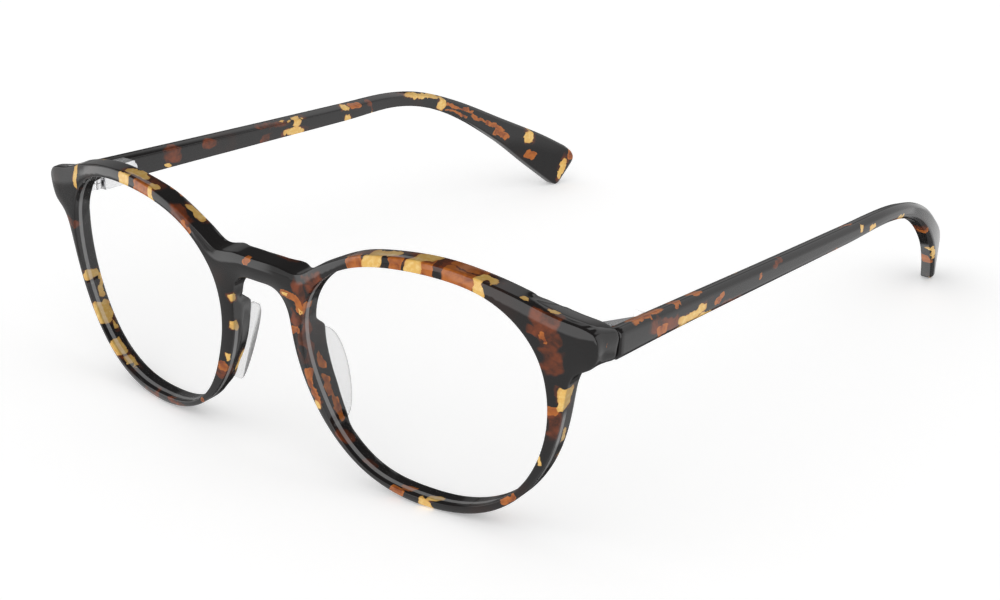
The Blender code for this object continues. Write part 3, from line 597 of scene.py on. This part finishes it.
LEFT_RIM_FLECKS = (
    (AMBER, (22.8, 43.2, 0.4), (1.8, 1.7, 1.2), 0),
    (HONEY, (26.3, 44.0, 0.4), (1.9, 2.2, 1.1), 0),
    (AMBER, (31.1, 44.6, 0.5), (1.4, 2.0, 1.2), 0),
    (HONEY, (34.3, 44.6, 0.6), (1.2, 2.2, 1.3), 0),
    (AMBER, (36.6, 44.9, 0.6), (1.2, 2.0, 1.2), 0),
    (AMBER, (42.3, 44.0, 0.5), (3.0, 2.2, 1.3), -10),
    (HONEY, (46.0, 43.2, 0.5), (1.0, 2.4, 1.2), 12),
    (RED, (22.5, 44.5, 2.4), (3.2, 1.4, 1.2), 15),
    (HONEY, (28.0, 45.4, 2.3), (2.8, 1.2, 1.1), 0),
    (HONEY, (35.3, 45.9, 2.4), (2.0, 1.2, 1.2), 0),
    (RED, (41.5, 45.6, 2.6), (5.4, 1.6, 2.2), -6),
    (AMBER, (42.8, 45.3, 3.0), (3.0, 1.0, 1.0), -10),
    (HONEY, (47.0, 44.4, 1.9), (2.0, 1.0, 0.9), -14),
    (HONEY, (53.5, 42.5, 1.3), (0.6, 0.7, 0.4), 0),
    (HONEY, (57.7, 40.9, 1.6), (0.8, 0.8, 0.5), 0),
    (AMBER, (57.6, 41.1, 3.4), (0.4, 0.5, 0.3), 0),
    (RED, (57.4, 40.0, 0.3), (2.3, 2.0, 0.9), -35),
    (RED, (55.7, 37.7, 0.3), (1.4, 0.8, 0.8), 0),
    (RED, (57.9, 36.4, 0.3), (1.6, 1.8, 0.8), 0),
    (AMBER, (57.0, 36.8, 0.3), (0.4, 1.1, 0.5), 0),
    (RED, (58.3, 33.2, 0.3), (1.8, 2.0, 0.9), 0),
    (HONEY, (59.7, 26.3, 1.1), (1.0, 2.0, 1.4), 0),
    (AMBER, (58.1, 24.7, 0.2), (1.0, 0.9, 0.8), 0),
    (RED, (58.4, 22.4, 0.3), (1.1, 2.6, 1.0), 0),
    (HONEY, (55.7, 15.6, 0.2), (0.35, 1.4, 0.5), 10),
    (HONEY, (58.2, 19.0, 2.8), (0.9, 1.5, 0.6), 0),
    (RED, (16.8, 8.8, 2.0), (1.5, 1.2, 1.2), 0),
    (RED, (21.7, 5.0, 2.2), (1.4, 1.0, 1.0), 0),
    (AMBER, (27.8, 1.7, 0.3), (1.3, 1.0, 0.8), -20),
    (AMBER, (29.2, 2.0, 1.8), (1.3, 0.8, 0.6), 0),
    (HONEY, (34.0, 0.8, 0.3), (1.4, 1.0, 0.7), 0),
    (HONEY, (35.2, 1.6, 1.4), (1.2, 0.7, 0.7), 0),
    (AMBER, (49.6, 5.8, 0.3), (2.1, 0.5, 0.7), 35),
    (AMBER, (51.0, 7.8, 0.2), (1.0, 0.4, 0.5), 45),
    (AMBER, (66.0, 37.2, 2.4), (0.6, 1.0, 0.25), 0),
)
# The back of the front, which the photograph doesn't show.
BACK_FLECKS = (
    (HONEY, (-47.0, 43.6, 5.0), (1.8, 1.6, 1.4), 20),
    (AMBER, (-59.0, 38.0, 9.0), (1.6, 1.4, 2.2), 0),
    (HONEY, (-38.0, 0.6, 5.6), (2.0, 1.4, 1.2), 10),
    (AMBER, (-24.0, 43.8, 5.0), (2.4, 1.4, 1.4), -10),
    (RED, (3.0, 36.0, 5.0), (3.4, 2.0, 1.6), 20),
    (HONEY, (12.5, 9.4, 5.2), (1.0, 1.6, 1.2), 40),
    (AMBER, (46.0, 3.0, 4.8), (2.4, 1.4, 1.4), 30),
    (HONEY, (57.4, 14.0, 4.6), (1.4, 1.8, 1.4), 0),
    (RED, (33.0, 45.0, 5.0), (4.0, 1.8, 1.4), 0),
    (HONEY, (20.0, 43.2, 5.0), (1.6, 1.2, 1.2), 0),
    (HONEY, (62.0, 35.6, 10.6), (0.9, 0.7, 1.4), 0),
)
FRONT_FLECKS = RIGHT_RIM_FLECKS + NOSE_FLECKS + LEFT_RIM_FLECKS + BACK_FLECKS

# Temples: (kind, (back, up, out from the hinge), half sizes, turn).
LEFT_FLECKS = (
    (AMBER, (6.4, 2.5, 3.0), (4.2, 0.8, 1.4), 0),
    (AMBER, (15.0, 2.3, 3.2), (1.4, 0.6, 1.4), 0),
    (AMBER, (21.4, 2.1, 3.2), (1.3, 0.5, 1.4), 0),
    (RED, (10.5, 0.1, 4.9), (4.0, 1.2, 3.0), -6),
    (AMBER, (9.4, -0.5, 4.9), (1.4, 0.8, 1.2), 0),
    (HONEY, (19.0, -0.4, 4.9), (4.2, 0.9, 1.6), 4),
    (HONEY, (16.4, -1.9, 4.2), (1.6, 0.5, 1.4), 0),
    (HONEY, (22.6, -1.8, 4.2), (2.3, 0.5, 1.4), 0),
    (RED, (28.5, -1.7, 4.4), (5.0, 0.6, 1.4), 0),
    (AMBER, (27.0, 0.0, 4.9), (1.8, 0.4, 1.0), 25),
    (AMBER, (40.2, 1.0, 4.8), (0.6, 0.5, 1.0), 0),
    (RED, (46.4, 1.3, 4.6), (1.8, 0.5, 1.4), 0),
    (AMBER, (66.5, -1.6, 4.4), (4.6, 0.5, 1.6), 4),
    (AMBER, (73.4, 1.6, 3.4), (1.8, 0.4, 1.2), 0),
    (HONEY, (77.0, 0.8, 4.6), (0.7, 0.8, 1.2), 0),
    (HONEY, (82.0, -0.2, 4.9), (1.4, 0.7, 1.2), 10),
    (HONEY, (95.0, -1.4, 4.2), (1.8, 0.4, 1.4), -10),
    (RED, (114.4, -9.2, -0.6), (2.6, 1.6, 1.6), -30),
    (AMBER, (116.4, -10.0, 0.0), (1.2, 1.2, 1.4), 0),
    (HONEY, (128.6, -18.4, -2.4), (3.6, 0.4, 1.6), -38),
    (AMBER, (130.8, -20.4, -5.6), (1.8, 1.8, 1.4), 0),
    (HONEY, (138.2, -27.4, -6.6), (1.2, 0.4, 1.6), -30),
    (HONEY, (36.0, 0.6, 1.6), (2.2, 0.9, 1.2), 10),
    (AMBER, (56.0, -0.4, 1.6), (3.0, 0.7, 1.2), -6),
    (HONEY, (101.0, -1.6, -1.0), (2.2, 0.8, 1.4), -16),
    (AMBER, (123.0, -13.0, -5.0), (2.2, 1.2, 1.4), -30),
)
RIGHT_FLECKS = (
    (RED, (48.5, 1.9, 1.6), (2.3, 0.8, 1.4), 0),
    (RED, (48.2, -0.9, 1.6), (1.4, 0.6, 1.4), 0),
    (HONEY, (56.6, 2.2, 1.8), (3.4, 0.6, 1.4), 0),
    (HONEY, (57.2, 0.6, 1.6), (1.2, 1.2, 1.4), -15),
    (HONEY, (56.8, -1.2, 1.6), (3.3, 0.7, 1.4), 0),
    (RED, (52.0, 1.6, 1.6), (2.6, 1.0, 1.4), 0),
    (HONEY, (73.6, 1.5, 1.6), (1.3, 0.7, 1.4), 0),
    (HONEY, (74.3, -0.9, 1.6), (0.9, 0.7, 1.4), 0),
    (AMBER, (77.0, 1.3, 1.6), (1.7, 0.7, 1.4), 0),
    (RED, (81.3, 1.1, 1.6), (1.1, 0.8, 1.4), 0),
    (HONEY, (81.6, -1.1, 1.6), (0.9, 0.4, 1.4), 15),
    (HONEY, (99.6, 0.2, 1.0), (6.0, 0.5, 2.0), -10),
    (HONEY, (105.6, -2.6, 0.2), (1.2, 1.6, 2.0), -25),
    (AMBER, (111.4, -4.4, -1.0), (4.6, 0.35, 2.0), -22),
    (AMBER, (110.4, -5.6, -1.0), (3.6, 0.3, 2.0), -24),
    (AMBER, (120.0, -9.6, -3.2), (6.2, 0.45, 2.0), -30),
    (AMBER, (124.0, -13.2, -4.4), (2.6, 0.9, 2.0), -30),
    (HONEY, (132.0, -14.6, -6.8), (1.4, 1.5, 2.0), 0),
    (AMBER, (132.6, -19.4, -6.8), (1.3, 1.1, 2.0), -30),
    (HONEY, (141.6, -24.2, -10.4), (0.9, 2.8, 2.0), -20),
    (AMBER, (144.1, -20.6, -11.5), (1.0, 1.4, 2.0), 0),
    (RED, (32.1, 0.9, 1.6), (1.9, 1.2, 1.4), 0),
    (RED, (21.5, 1.0, 1.6), (2.1, 1.4, 1.4), 0),
    (HONEY, (19.9, -1.5, 1.6), (0.8, 0.4, 1.4), 0),
    (HONEY, (12.0, 0.6, 5.0), (2.6, 1.0, 1.2), -8),
    (AMBER, (27.0, -0.6, 5.0), (3.6, 0.8, 1.2), 6),
    (HONEY, (64.0, 0.4, 5.0), (2.6, 0.8, 1.2), 0),
    (AMBER, (90.0, 0.2, 5.0), (3.0, 0.7, 1.2), 0),
    (HONEY, (126.0, -12.0, -1.6), (2.2, 1.4, 1.4), -35),
)


# ---------- the front
def bow(u):
    """How far back the front's curve has gone at that distance from its middle."""
    return np.asarray(u) ** 2 / (2 * FRONT_BOW_RADIUS)


def joint_depth(v):
    """Depth in the front's own frame of the plane where the end pieces stop."""
    c, s = math.cos(TEMPLE_SLOPE), math.sin(TEMPLE_SLOPE)
    ct, st = math.cos(FRONT_TILT), math.sin(FRONT_TILT)
    _, back, up = HINGE_AXIS
    reach = JOINT_PLANE + back * c + v * st * c + (v * ct - FRONT_REST - up) * s
    return reach / (ct * c - st * s)


def back_depth(u, v):
    """Depth of the front's back surface behind its front surface."""
    a = np.abs(u)
    depth = np.full(np.shape(a), RIM_DEPTH)
    # The bridge is a little thicker, and thickest where it meets the rims.
    depth = depth + BRIDGE_EXTRA * (1 - smooth(a, 2.0, 10.0))
    rib = np.exp(-((a - BRIDGE_RIB_PLACE) / BRIDGE_RIB_WIDTH) ** 2)
    depth = depth + BRIDGE_RIB * rib * smooth(v, 33.0, 37.0)
    # The nose build-ups have a crisp step at the top and fade out at the bottom.
    hollow = (1 - smooth(a, 7.2, 10.0)) * smooth(v, 26.5, 28.5) * (1 - smooth(v, 31.0, 34.5))
    depth = depth - NOSE_HOLLOW * hollow
    level = np.interp(v, *NOSE_LEVELS) * (0.85 + 0.15 * smooth(a, 7.4, 10.0))
    near = 1 - smooth(a, 14.0, 17.0)
    above = 1 - smooth(v, 26.2, 28.9)
    depth = depth + level * near * above
    # The end blocks reach back to the joint.
    start = np.interp(v, *BLOCK_START)
    block = smooth(a, start, start + BLOCK_SPREAD) * smooth(v, 30.6, 31.8)
    whole = joint_depth(v) - bow(u)
    return depth * (1 - block) + whole * block


def back_surface(points):
    """Depth of the front's back surface in the front's own frame."""
    return bow(points[:, 0]) + back_depth(points[:, 0], points[:, 1])


def crown(gap):
    """How far the front surface falls away at that distance from the outer outline."""
    near = np.clip(1 - gap / CROWN_WIDTH, 0.0, 1.0)
    return CROWN_DROP * near ** 2


def squeeze(points):
    """Taper the end pieces' tops and bottoms towards the temples' section at the joint."""
    u, v, w = points[:, 0], points[:, 1], points[:, 2]
    a = np.abs(u)
    middle = FRONT_MIDDLE + MIDDLE_SLOPE * w
    start = bow(u) + TAPER_START
    share = np.clip((w - start) / (joint_depth(v) - start), 0.0, 1.0) * smooth(a, 53.0, 55.5)
    share = share * smooth(v, 29.5, 31.5)
    upper = (np.interp(a, *JOINT_TOP) - JOINT_MIDDLE) / (np.interp(a, *END_TOP) - JOINT_MIDDLE)
    lower = END_HALF_HEIGHT / (JOINT_MIDDLE - np.interp(a, *END_BOTTOM))
    factor = np.where(v > middle, 1 - (1 - upper) * share, 1 - (1 - lower) * share)
    v = middle + (v - middle) * factor
    limit = np.where((a > 55.5) & (v > 31.6), joint_depth(v), np.inf)
    u = u + np.sign(u) * END_FLARE * share * smooth(a, 64.0, 65.2)
    return np.column_stack([u, v, np.minimum(w, limit)])


def to_world(points):
    """From the front's own (u, v, w) to the frame's axes, in millimetres."""
    u, v, w = points[:, 0], points[:, 1], points[:, 2]
    ct, st = math.cos(FRONT_TILT), math.sin(FRONT_TILT)
    return np.column_stack([u, -v * st + w * ct - MIDDLE, v * ct + w * st - FRONT_REST])


def nose_chamfer(loop):
    """How far the outer wall's back edge is set in round the nose."""
    a, v = np.abs(loop[:, 0]), loop[:, 1]
    return NOSE_CHAMFER * (1 - smooth(a, 11.0, 14.0)) * smooth(v, 8.0, 12.0) * (1 - smooth(v, 27.0, 30.0))


def wall_rows(loop, normals, front, chamfer):
    """Rings of points from the front face round the edge to the back face."""
    rows = []

    def ring(inset, depth_of):
        flat = loop - normals * inset
        rows.append(np.column_stack([flat, depth_of(flat)]))

    angles = [math.radians(90 / ROUNDING_STEPS * step) for step in range(ROUNDING_STEPS + 1)]
    for angle in angles:
        fall = FRONT_EDGE * (1 - math.cos(angle))
        ring(FRONT_EDGE * (1 - math.sin(angle)), lambda p, fall=fall: front(p) + fall)
    for share in np.linspace(0.1, 0.9, WALL_ROWS):
        late = max(0.0, share - CHAMFER_START) / (1 - CHAMFER_START)
        ring((chamfer * late)[:, None], lambda p, share=share: (front(p) + FRONT_EDGE) * (1 - share)
             + (back_surface(p) - BACK_EDGE) * share)
    for angle in angles:
        inset = chamfer[:, None] + BACK_EDGE * (1 - math.cos(angle))
        rise = BACK_EDGE * (1 - math.sin(angle))
        ring(inset, lambda p, rise=rise: back_surface(p) - rise)
    return rows


def build_front(material):
    mirrored = [(-u, v) for u, v in reversed(FRONT_OUTLINE[1:-1])]
    outer = closed_spline([*FRONT_OUTLINE, *mirrored], BASE_STEP)
    openings = [closed_spline([(side * u, v) for u, v in LENS_OPENING], BASE_STEP) for side in SIDES.values()]

    def front(p):
        return bow(p[:, 0]) + crown(distance_to(p, outer))

    points, faces = [], []
    count = 0
    for loop, facing in [(outer, 1)] + [(opening, -1) for opening in openings]:
        chamfer = nose_chamfer(loop) if facing == 1 else np.zeros(len(loop))
        rows = wall_rows(loop, outward_normals(loop) * facing, front, chamfer)
        number = len(loop)
        points += rows
        for _ in rows[1:]:
            faces += band(count, number)
            count += number
        count += number
    for edge, surface in ((FRONT_EDGE, front), (BACK_EDGE, back_surface)):
        inset = nose_chamfer(outer)[:, None] if surface is back_surface else 0.0
        rim = outer - outward_normals(outer) * (edge + inset)
        holes = [opening + outward_normals(opening) * edge for opening in openings]
        flat, triangles = fill(rim, holes, FACE_STEP)
        points.append(np.column_stack([flat, surface(flat)]))
        faces += [tuple(t + count) for t in triangles]
        count += len(flat)
    points = squeeze(np.concatenate(points))
    piece = mesh_piece("front_acetate", to_world(points), faces, material, "front")
    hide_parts("front_frame")


def build_lens(name, side, material):
    loop = closed_spline([(side * u, v) for u, v in LENS_OPENING], BASE_STEP * 2)
    normals = outward_normals(loop)
    number = len(loop)
    points, faces = [], []
    for grow, depth in LENS_EDGE:
        flat = loop + normals * grow
        points.append(np.column_stack([flat, bow(flat[:, 0]) + depth]))
    for index in range(len(LENS_EDGE) - 1):
        faces += band(index * number, number)
    count = len(LENS_EDGE) * number
    for grow, depth in (LENS_EDGE[0], LENS_EDGE[-1]):
        flat, triangles = fill(loop + normals * grow, [], LENS_STEP)
        points.append(np.column_stack([flat, bow(flat[:, 0]) + depth]))
        faces += [tuple(t + count) for t in triangles]
        count += len(flat)
    placed = to_world(np.concatenate(points))
    piece = mesh_piece("clear_lens_" + name, placed, faces, material, "front")
    piece.data.set_sharp_from_angle(angle=math.radians(35))
    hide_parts("lens_" + name)


def build_pad(name, side, material):
    """Clear D-shaped pad with a rounded rim."""
    along = Vector(PAD_ALONG).normalized()
    bulge = Vector((math.sin(PAD_SPLAY), 0.0, math.cos(PAD_SPLAY)))
    bulge = (bulge - along * bulge.dot(along)).normalized()
    through = along.cross(bulge)
    centre = Vector(PAD_CENTRE)
    points = []
    for layer in range(PAD_LAYERS):
        height = -1 + 2 * layer / (PAD_LAYERS - 1)
        shrink = PAD_RIM * (1 - math.sqrt(max(0.0, 1 - abs(height) ** 4)))
        for index in range(PAD_STEPS + 1):
            angle = math.pi * index / PAD_STEPS
            length = (PAD_HALF_LENGTH - shrink) * math.cos(angle)
            rise = (PAD_BULGE - shrink) * math.sin(angle) ** PAD_FULLNESS
            rise *= 1 - PAD_TAPER * (1 - math.cos(angle)) / 2
            spot = centre + along * length + bulge * rise + through * (height * PAD_THICKNESS / 2)
            points.append((side * spot.x, spot.y, spot.z))
    faces = closed_tube(PAD_LAYERS, PAD_STEPS + 1)
    placed = to_world(np.array(points))
    piece = mesh_piece("clear_pad_" + name, placed, faces, material, "front")
    piece.data.set_sharp_from_angle(angle=math.radians(60))
    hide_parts("nose_pad_" + name)


# ---------- the temples
def inward(back):
    """How far the temple has curved in towards the head."""
    return max(0.0, back - INWARD_START) ** 2 / (2 * INWARD_RADIUS)


def twist(back):
    """How far the temple's section leans over, as a slope."""
    return TWIST * float(smooth(back, *TWIST_SPAN))


def temple_path():
    """Smooth path through the temple's stations: points of (back, up, half height)."""
    knots = [Vector(station) for station in TEMPLE_STATIONS]
    slopes = []
    for index in range(len(knots)):
        before, after = knots[max(index - 1, 0)], knots[min(index + 1, len(knots) - 1)]
        slopes.append((after - before) / (after - before).length)
    points = []
    for index in range(len(knots) - 1):
        a, b = knots[index], knots[index + 1]
        reach = (b - a).length
        number = max(2, round(reach / TEMPLE_STEP))
        for step in range(number):
            t = step / number
            points.append(
                a * (2 * t ** 3 - 3 * t ** 2 + 1) + slopes[index] * reach * (t ** 3 - 2 * t ** 2 + t)
                + b * (3 * t ** 2 - 2 * t ** 3) + slopes[index + 1] * reach * (t ** 3 - t ** 2)
            )
    points.append(knots[-1])
    return points


def rounded_section(below, above, shrink):
    """Outline of the temple's section, each corner cut round, with its ends pulled in by shrink."""
    inner, outer = TEMPLE_INNER + shrink, TEMPLE_INNER + TEMPLE_THICKNESS - shrink
    low, high = -below + shrink, above - shrink
    thick = outer - inner
    # Each corner is (out, up, rounding), from the inner face's lower edge round the outside.
    corners = (
        (inner, low, 0.35),
        (outer - LOWER_BEVEL[0] * thick, low, 0.35),
        (outer, low + LOWER_BEVEL[1], 0.45),
        (outer, high - UPPER_BEVEL[1], 0.5),
        (outer - UPPER_BEVEL[0] * thick, high + UPPER_RISE, 0.45),
        (inner, high - INNER_FALL, 0.35),
    )
    ring = []
    count = len(corners)
    for index, (x, z, radius) in enumerate(corners):
        here = Vector((x, z))
        before = Vector(corners[index - 1][:2]) - here
        after = Vector(corners[(index + 1) % count][:2]) - here
        cut = min(radius, before.length * 0.45, after.length * 0.45)
        start, end = here + before.normalized() * cut, here + after.normalized() * cut
        for step in range(6):
            t = step / 5
            ring.append(start * (1 - t) ** 2 + here * 2 * t * (1 - t) + end * t ** 2)
    return ring


def corner_drop(radius, left):
    """How far a rounded corner has fallen where there is that much length left before the end."""
    if left >= radius:
        return 0.0
    return radius - math.sqrt(max(0.0, radius ** 2 - (radius - left) ** 2))


def build_temple(name, side, material):
    path = temple_path()
    end = path[-1]
    tip = max(TIP_ROUNDING)
    stations = [(p, (end - p).to_2d().length) for p in path if (end - p).to_2d().length > tip]
    last, length = stations[-1]
    for index in range(TIP_STEPS + 1):
        left = tip * (1 - math.sin(math.radians(90 / TIP_STEPS * index)))
        stations.append((last.lerp(end, 1 - left / length), left))
    rings = []
    edge = TEMPLE_ROOT_EDGE
    for index, (point, left) in enumerate(stations):
        before = stations[max(index - 1, 0)][0]
        after = stations[min(index + 1, len(stations) - 1)][0]
        ahead = (after - before).to_2d().normalized()
        if index == 0:
            ahead = Vector((1.0, 0.0))
        below, above = (point.z - corner_drop(radius, left) for radius in TIP_ROUNDING)
        shrink = corner_drop(TEMPLE_TIP_EDGE, left) * TEMPLE_TIP_FLATNESS
        ring = rounded_section(below, above, shrink)
        rows = [(point, ring)]
        if index == 0:
            rows = [(point, rounded_section(below, above, edge * 0.9)),
                    (point + Vector((edge * 0.25, 0, 0)), rounded_section(below, above, edge * 0.35)),
                    (point + Vector((edge, 0, 0)), ring)]
        for spot, outline in rows:
            placed = []
            for out, up in outline:
                back, height = spot.x - ahead.y * up, spot.y + ahead.x * up
                placed.append((out - inward(spot.x) - twist(spot.x) * up, back, height))
            rings.append(placed)
    placed = hinge_to_world(np.concatenate(rings), side)
    faces = closed_tube(len(rings), len(rings[0]))
    piece = mesh_piece("temple_acetate_" + name, placed, faces, material, "temple_arm_" + name)
    piece.data.set_sharp_from_angle(angle=math.radians(50))
    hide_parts("temple_" + name)


def hinge_to_world(local, side):
    """From a temple's own (out, back, up) to the frame's axes, in millimetres."""
    c, s = math.cos(TEMPLE_SLOPE), math.sin(TEMPLE_SLOPE)
    x, y, z = local[:, 0], local[:, 1], local[:, 2]
    across, back, up = HINGE_AXIS
    return np.column_stack([side * (across + x), back - MIDDLE + y * c + z * s, up - y * s + z * c])


# ---------- the hinges
def build_housing(side_name, material):
    """The CAD housing with its edges broken and its top and bottom moved; its bore stays as it is."""
    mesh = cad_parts["spring_housing_" + side_name].data.copy()
    mesh.name = "hinge_housing_" + side_name
    mesh.materials.clear()
    shape = bmesh.new()
    shape.from_mesh(mesh)
    bmesh.ops.remove_doubles(shape, verts=shape.verts, dist=WELD)
    bmesh.ops.dissolve_limit(shape, angle_limit=math.radians(2), verts=shape.verts, edges=shape.edges)
    shape.to_mesh(mesh)
    shape.free()
    _, hinge_back, hinge_up = HINGE_AXIS
    upright = Vector((0.0, math.sin(TEMPLE_SLOPE), math.cos(TEMPLE_SLOPE)))
    hinge = Vector((0.0, hinge_back - MIDDLE, hinge_up)) * MM
    front_end = min(vertex.co.y for vertex in mesh.vertices)
    for vertex in mesh.vertices:
        height = (vertex.co - hinge).dot(upright)
        if height > HOUSING_SKIN * MM:
            drop = HOUSING_FALL[side_name] * (vertex.co.y - front_end)
            vertex.co += upright * (HOUSING_GROWTH[side_name] * MM - drop)
        elif height < -HOUSING_SKIN * MM:
            vertex.co -= upright * HOUSING_GROWTH[side_name] * MM
    piece = bpy.data.objects.new(mesh.name, mesh)
    bpy.context.scene.collection.objects.link(piece)
    mesh.materials.append(material)
    mesh.shade_smooth()
    bevel = piece.modifiers.new("edges", "BEVEL")
    bevel.width = HOUSING_BEVEL * MM
    bevel.segments = 3
    bevel.limit_method = "ANGLE"
    bevel.angle_limit = math.radians(40)
    bevel.harden_normals = True
    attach(piece, "temple_arm_" + side_name)
    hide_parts("spring_housing_" + side_name)


# ---------- build
front_material = tortoiseshell("front_tortoiseshell", front_place, FRONT_FLECKS, 3.0, painted_lens_highlight, painted_wall_shade)
temple_materials = {
    "left": tortoiseshell("left_tortoiseshell", temple_place(1), LEFT_FLECKS, 17.0),
    "right": tortoiseshell("right_tortoiseshell", temple_place(-1), RIGHT_FLECKS, 31.0),
}
lens_material = clear_plastic("lens_plastic", (0.05, 0.05, 0.05, 1.0), 0.008, 0.05, 0.02)
pad_material = clear_plastic("pad_plastic", (0.38, 0.38, 0.38, 1.0), 0.13, 0.9, 0.12)
hinge_metal = metal("hinge_nickel", (0.88, 0.88, 0.89), 0.24, 9000)
spring_metal = metal("spring_wire", (0.55, 0.55, 0.56), 0.3, 6000)
core_metal = metal("core_wire", (0.6, 0.59, 0.57), 0.35, 5000)

build_front(front_material)
for side_name, side_sign in SIDES.items():
    build_lens(side_name, side_sign, lens_material)
    build_pad(side_name, side_sign, pad_material)
    build_temple(side_name, side_sign, temple_materials[side_name])
    build_housing(side_name, hinge_metal)
for node_name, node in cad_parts.items():
    look = None
    if node_name.startswith(("hinge_", "rod_stop")):
        look = hinge_metal
    elif node_name.startswith("flex_spring"):
        look = spring_metal
    elif node_name.startswith("temple_core"):
        look = core_metal
    if look is not None:
        node.data.materials.clear()
        node.data.materials.append(look)


# ---------- stage
FLOOR_FILL = 0.23  # even light from the floor itself, so its shadows stay pale
FLOOR_SIZE = 6.0
FLOOR_DROP = 0.00005  # below the frame's lowest point, in metres
CAMERA_AZIMUTH = math.radians(38.586)
CAMERA_ELEVATION = math.radians(22.517)
CAMERA_DISTANCE = 0.3563
CAMERA_TARGET = (0.01, 64.83 - MIDDLE, 9.25 - FRONT_REST)
CAMERA_LENS = 63.0
CAMERA_SENSOR = 36.0
MATT_DIRECTION = (0.4, -0.9, 0.0)  # where matt surfaces get most light from
MATT_SPAN = (-0.6, 0.9)  # of the cosine to that direction
MATT_LIGHT = (0.45, 1.22)


def build_floor():
    bpy.ops.mesh.primitive_plane_add(size=FLOOR_SIZE, location=(0.0, 0.0, -FLOOR_DROP))
    floor = bpy.context.object
    floor.name = "floor"
    material, _, shader = new_material("white_floor")
    shader.inputs["Base Color"].default_value = (0.99, 0.99, 0.99, 1.0)
    shader.inputs["Roughness"].default_value = 1.0
    shader.inputs["Specular IOR Level"].default_value = 0.0
    shader.inputs["Emission Color"].default_value = WHITE
    shader.inputs["Emission Strength"].default_value = FLOOR_FILL
    floor.data.materials.append(material)
    floor.visible_glossy = False


# What polished faces mirror: (x range, y range, z range, brightness) of the direction looked in.
# Later panels lie over earlier ones.
PANELS = (
    ((-1.1, 1.1), (-1.1, 1.1), (-1.1, -0.13), 0.62),
    ((-1.1, -0.84), (-0.4, 0.4), (-1.1, -0.13), 0.28),
    ((-1.1, -0.7), (-0.5, 0.2), (-0.33, 0.6), 0.65),
    ((0.15, 1.1), (0.2, 1.1), (-0.58, 0.40), 1.08),
    ((-0.3, 0.12), (0.2, 1.1), (-1.1, -0.58), 0.15),
    ((-0.27, 0.55), (0.5, 1.1), (-0.2, 0.60), 0.9),
    ((-1.1, 1.1), (-1.1, -0.2), (-0.10, 0.60), 2.0),
    ((-0.3, 1.1), (-1.1, -0.2), (-0.26, 0.0), 2.0),
    ((-1.1, -0.66), (-1.1, -0.2), (-0.26, 0.0), 2.0),
    ((-0.66, -0.38), (-1.1, -0.2), (-0.10, 0.60), 0.8),
    ((-0.30, -0.17), (0.58, 1.1), (0.42, 0.82), 0.8),
    ((-0.46, -0.30), (0.58, 1.1), (0.42, 0.62), 0.8),
    ((-0.03, 0.14), (0.2, 1.1), (0.60, 0.80), 1.3),
    ((-0.85, -0.2), (0.3, 1.1), (-0.10, 0.36), 0.26),
    ((-0.80, -0.36), (0.5, 1.1), (-0.62, -0.12), 0.085),
    ((-0.5, -0.12), (0.5, 1.1), (-0.8, -0.5), 0.03),
)
PANEL_EDGE = 0.03  # softness of the panels' edges
DARK_STUDIO = 0.06  # brightness between the panels


def grey(level):
    return (level, level, level, 1.0)


def build_world():
    """White to look at, brighter from the front on matt surfaces, and panels for polish to mirror."""
    world = bpy.data.worlds.new("studio")
    bpy.context.scene.world = world
    world.use_nodes = True
    tree = world.node_tree
    g = Graph(tree)
    direction = g.add("ShaderNodeTexCoord").outputs["Generated"]
    axes = g.split(direction)
    mirrored = grey(DARK_STUDIO)
    for x_range, y_range, z_range, brightness in PANELS:
        cover = 1.0
        for axis, (low, high) in zip(axes, (x_range, y_range, z_range)):
            inside_low = g.ramp(axis, low - PANEL_EDGE, low + PANEL_EDGE)
            inside_high = g.ramp(axis, high + PANEL_EDGE, high - PANEL_EDGE)
            cover = g.math("MULTIPLY", cover, g.math("MULTIPLY", inside_low, inside_high))
        mirrored = g.mix(cover, mirrored, grey(brightness))
    facing = g.vector("DOT_PRODUCT", direction, MATT_DIRECTION)
    matt = g.ramp(facing, *MATT_SPAN, *MATT_LIGHT, "LINEAR")
    rays = g.add("ShaderNodeLightPath")
    shade = g.mix(rays.outputs["Is Diffuse Ray"], WHITE, matt)
    shade = g.mix(rays.outputs["Is Glossy Ray"], shade, mirrored)
    background = tree.nodes["Background"]
    g.link(shade, background.inputs["Color"])
    background.inputs["Strength"].default_value = 1.0


def build_camera():
    level = math.cos(CAMERA_ELEVATION)
    back = Vector((
        math.sin(CAMERA_AZIMUTH) * level, -math.cos(CAMERA_AZIMUTH) * level, math.sin(CAMERA_ELEVATION),
    ))
    data = bpy.data.cameras.new("camera")
    data.lens = CAMERA_LENS
    data.sensor_width = CAMERA_SENSOR
    data.clip_start = 0.01
    camera = bpy.data.objects.new("camera", data)
    bpy.context.scene.collection.objects.link(camera)
    camera.location = Vector(CAMERA_TARGET) * MM + back * CAMERA_DISTANCE
    camera.rotation_mode = "QUATERNION"
    camera.rotation_quaternion = (-back).to_track_quat("-Z", "Y")
    bpy.context.scene.camera = camera


build_floor()
build_world()
build_camera()
bpy.context.scene.view_settings.view_transform = "Standard"
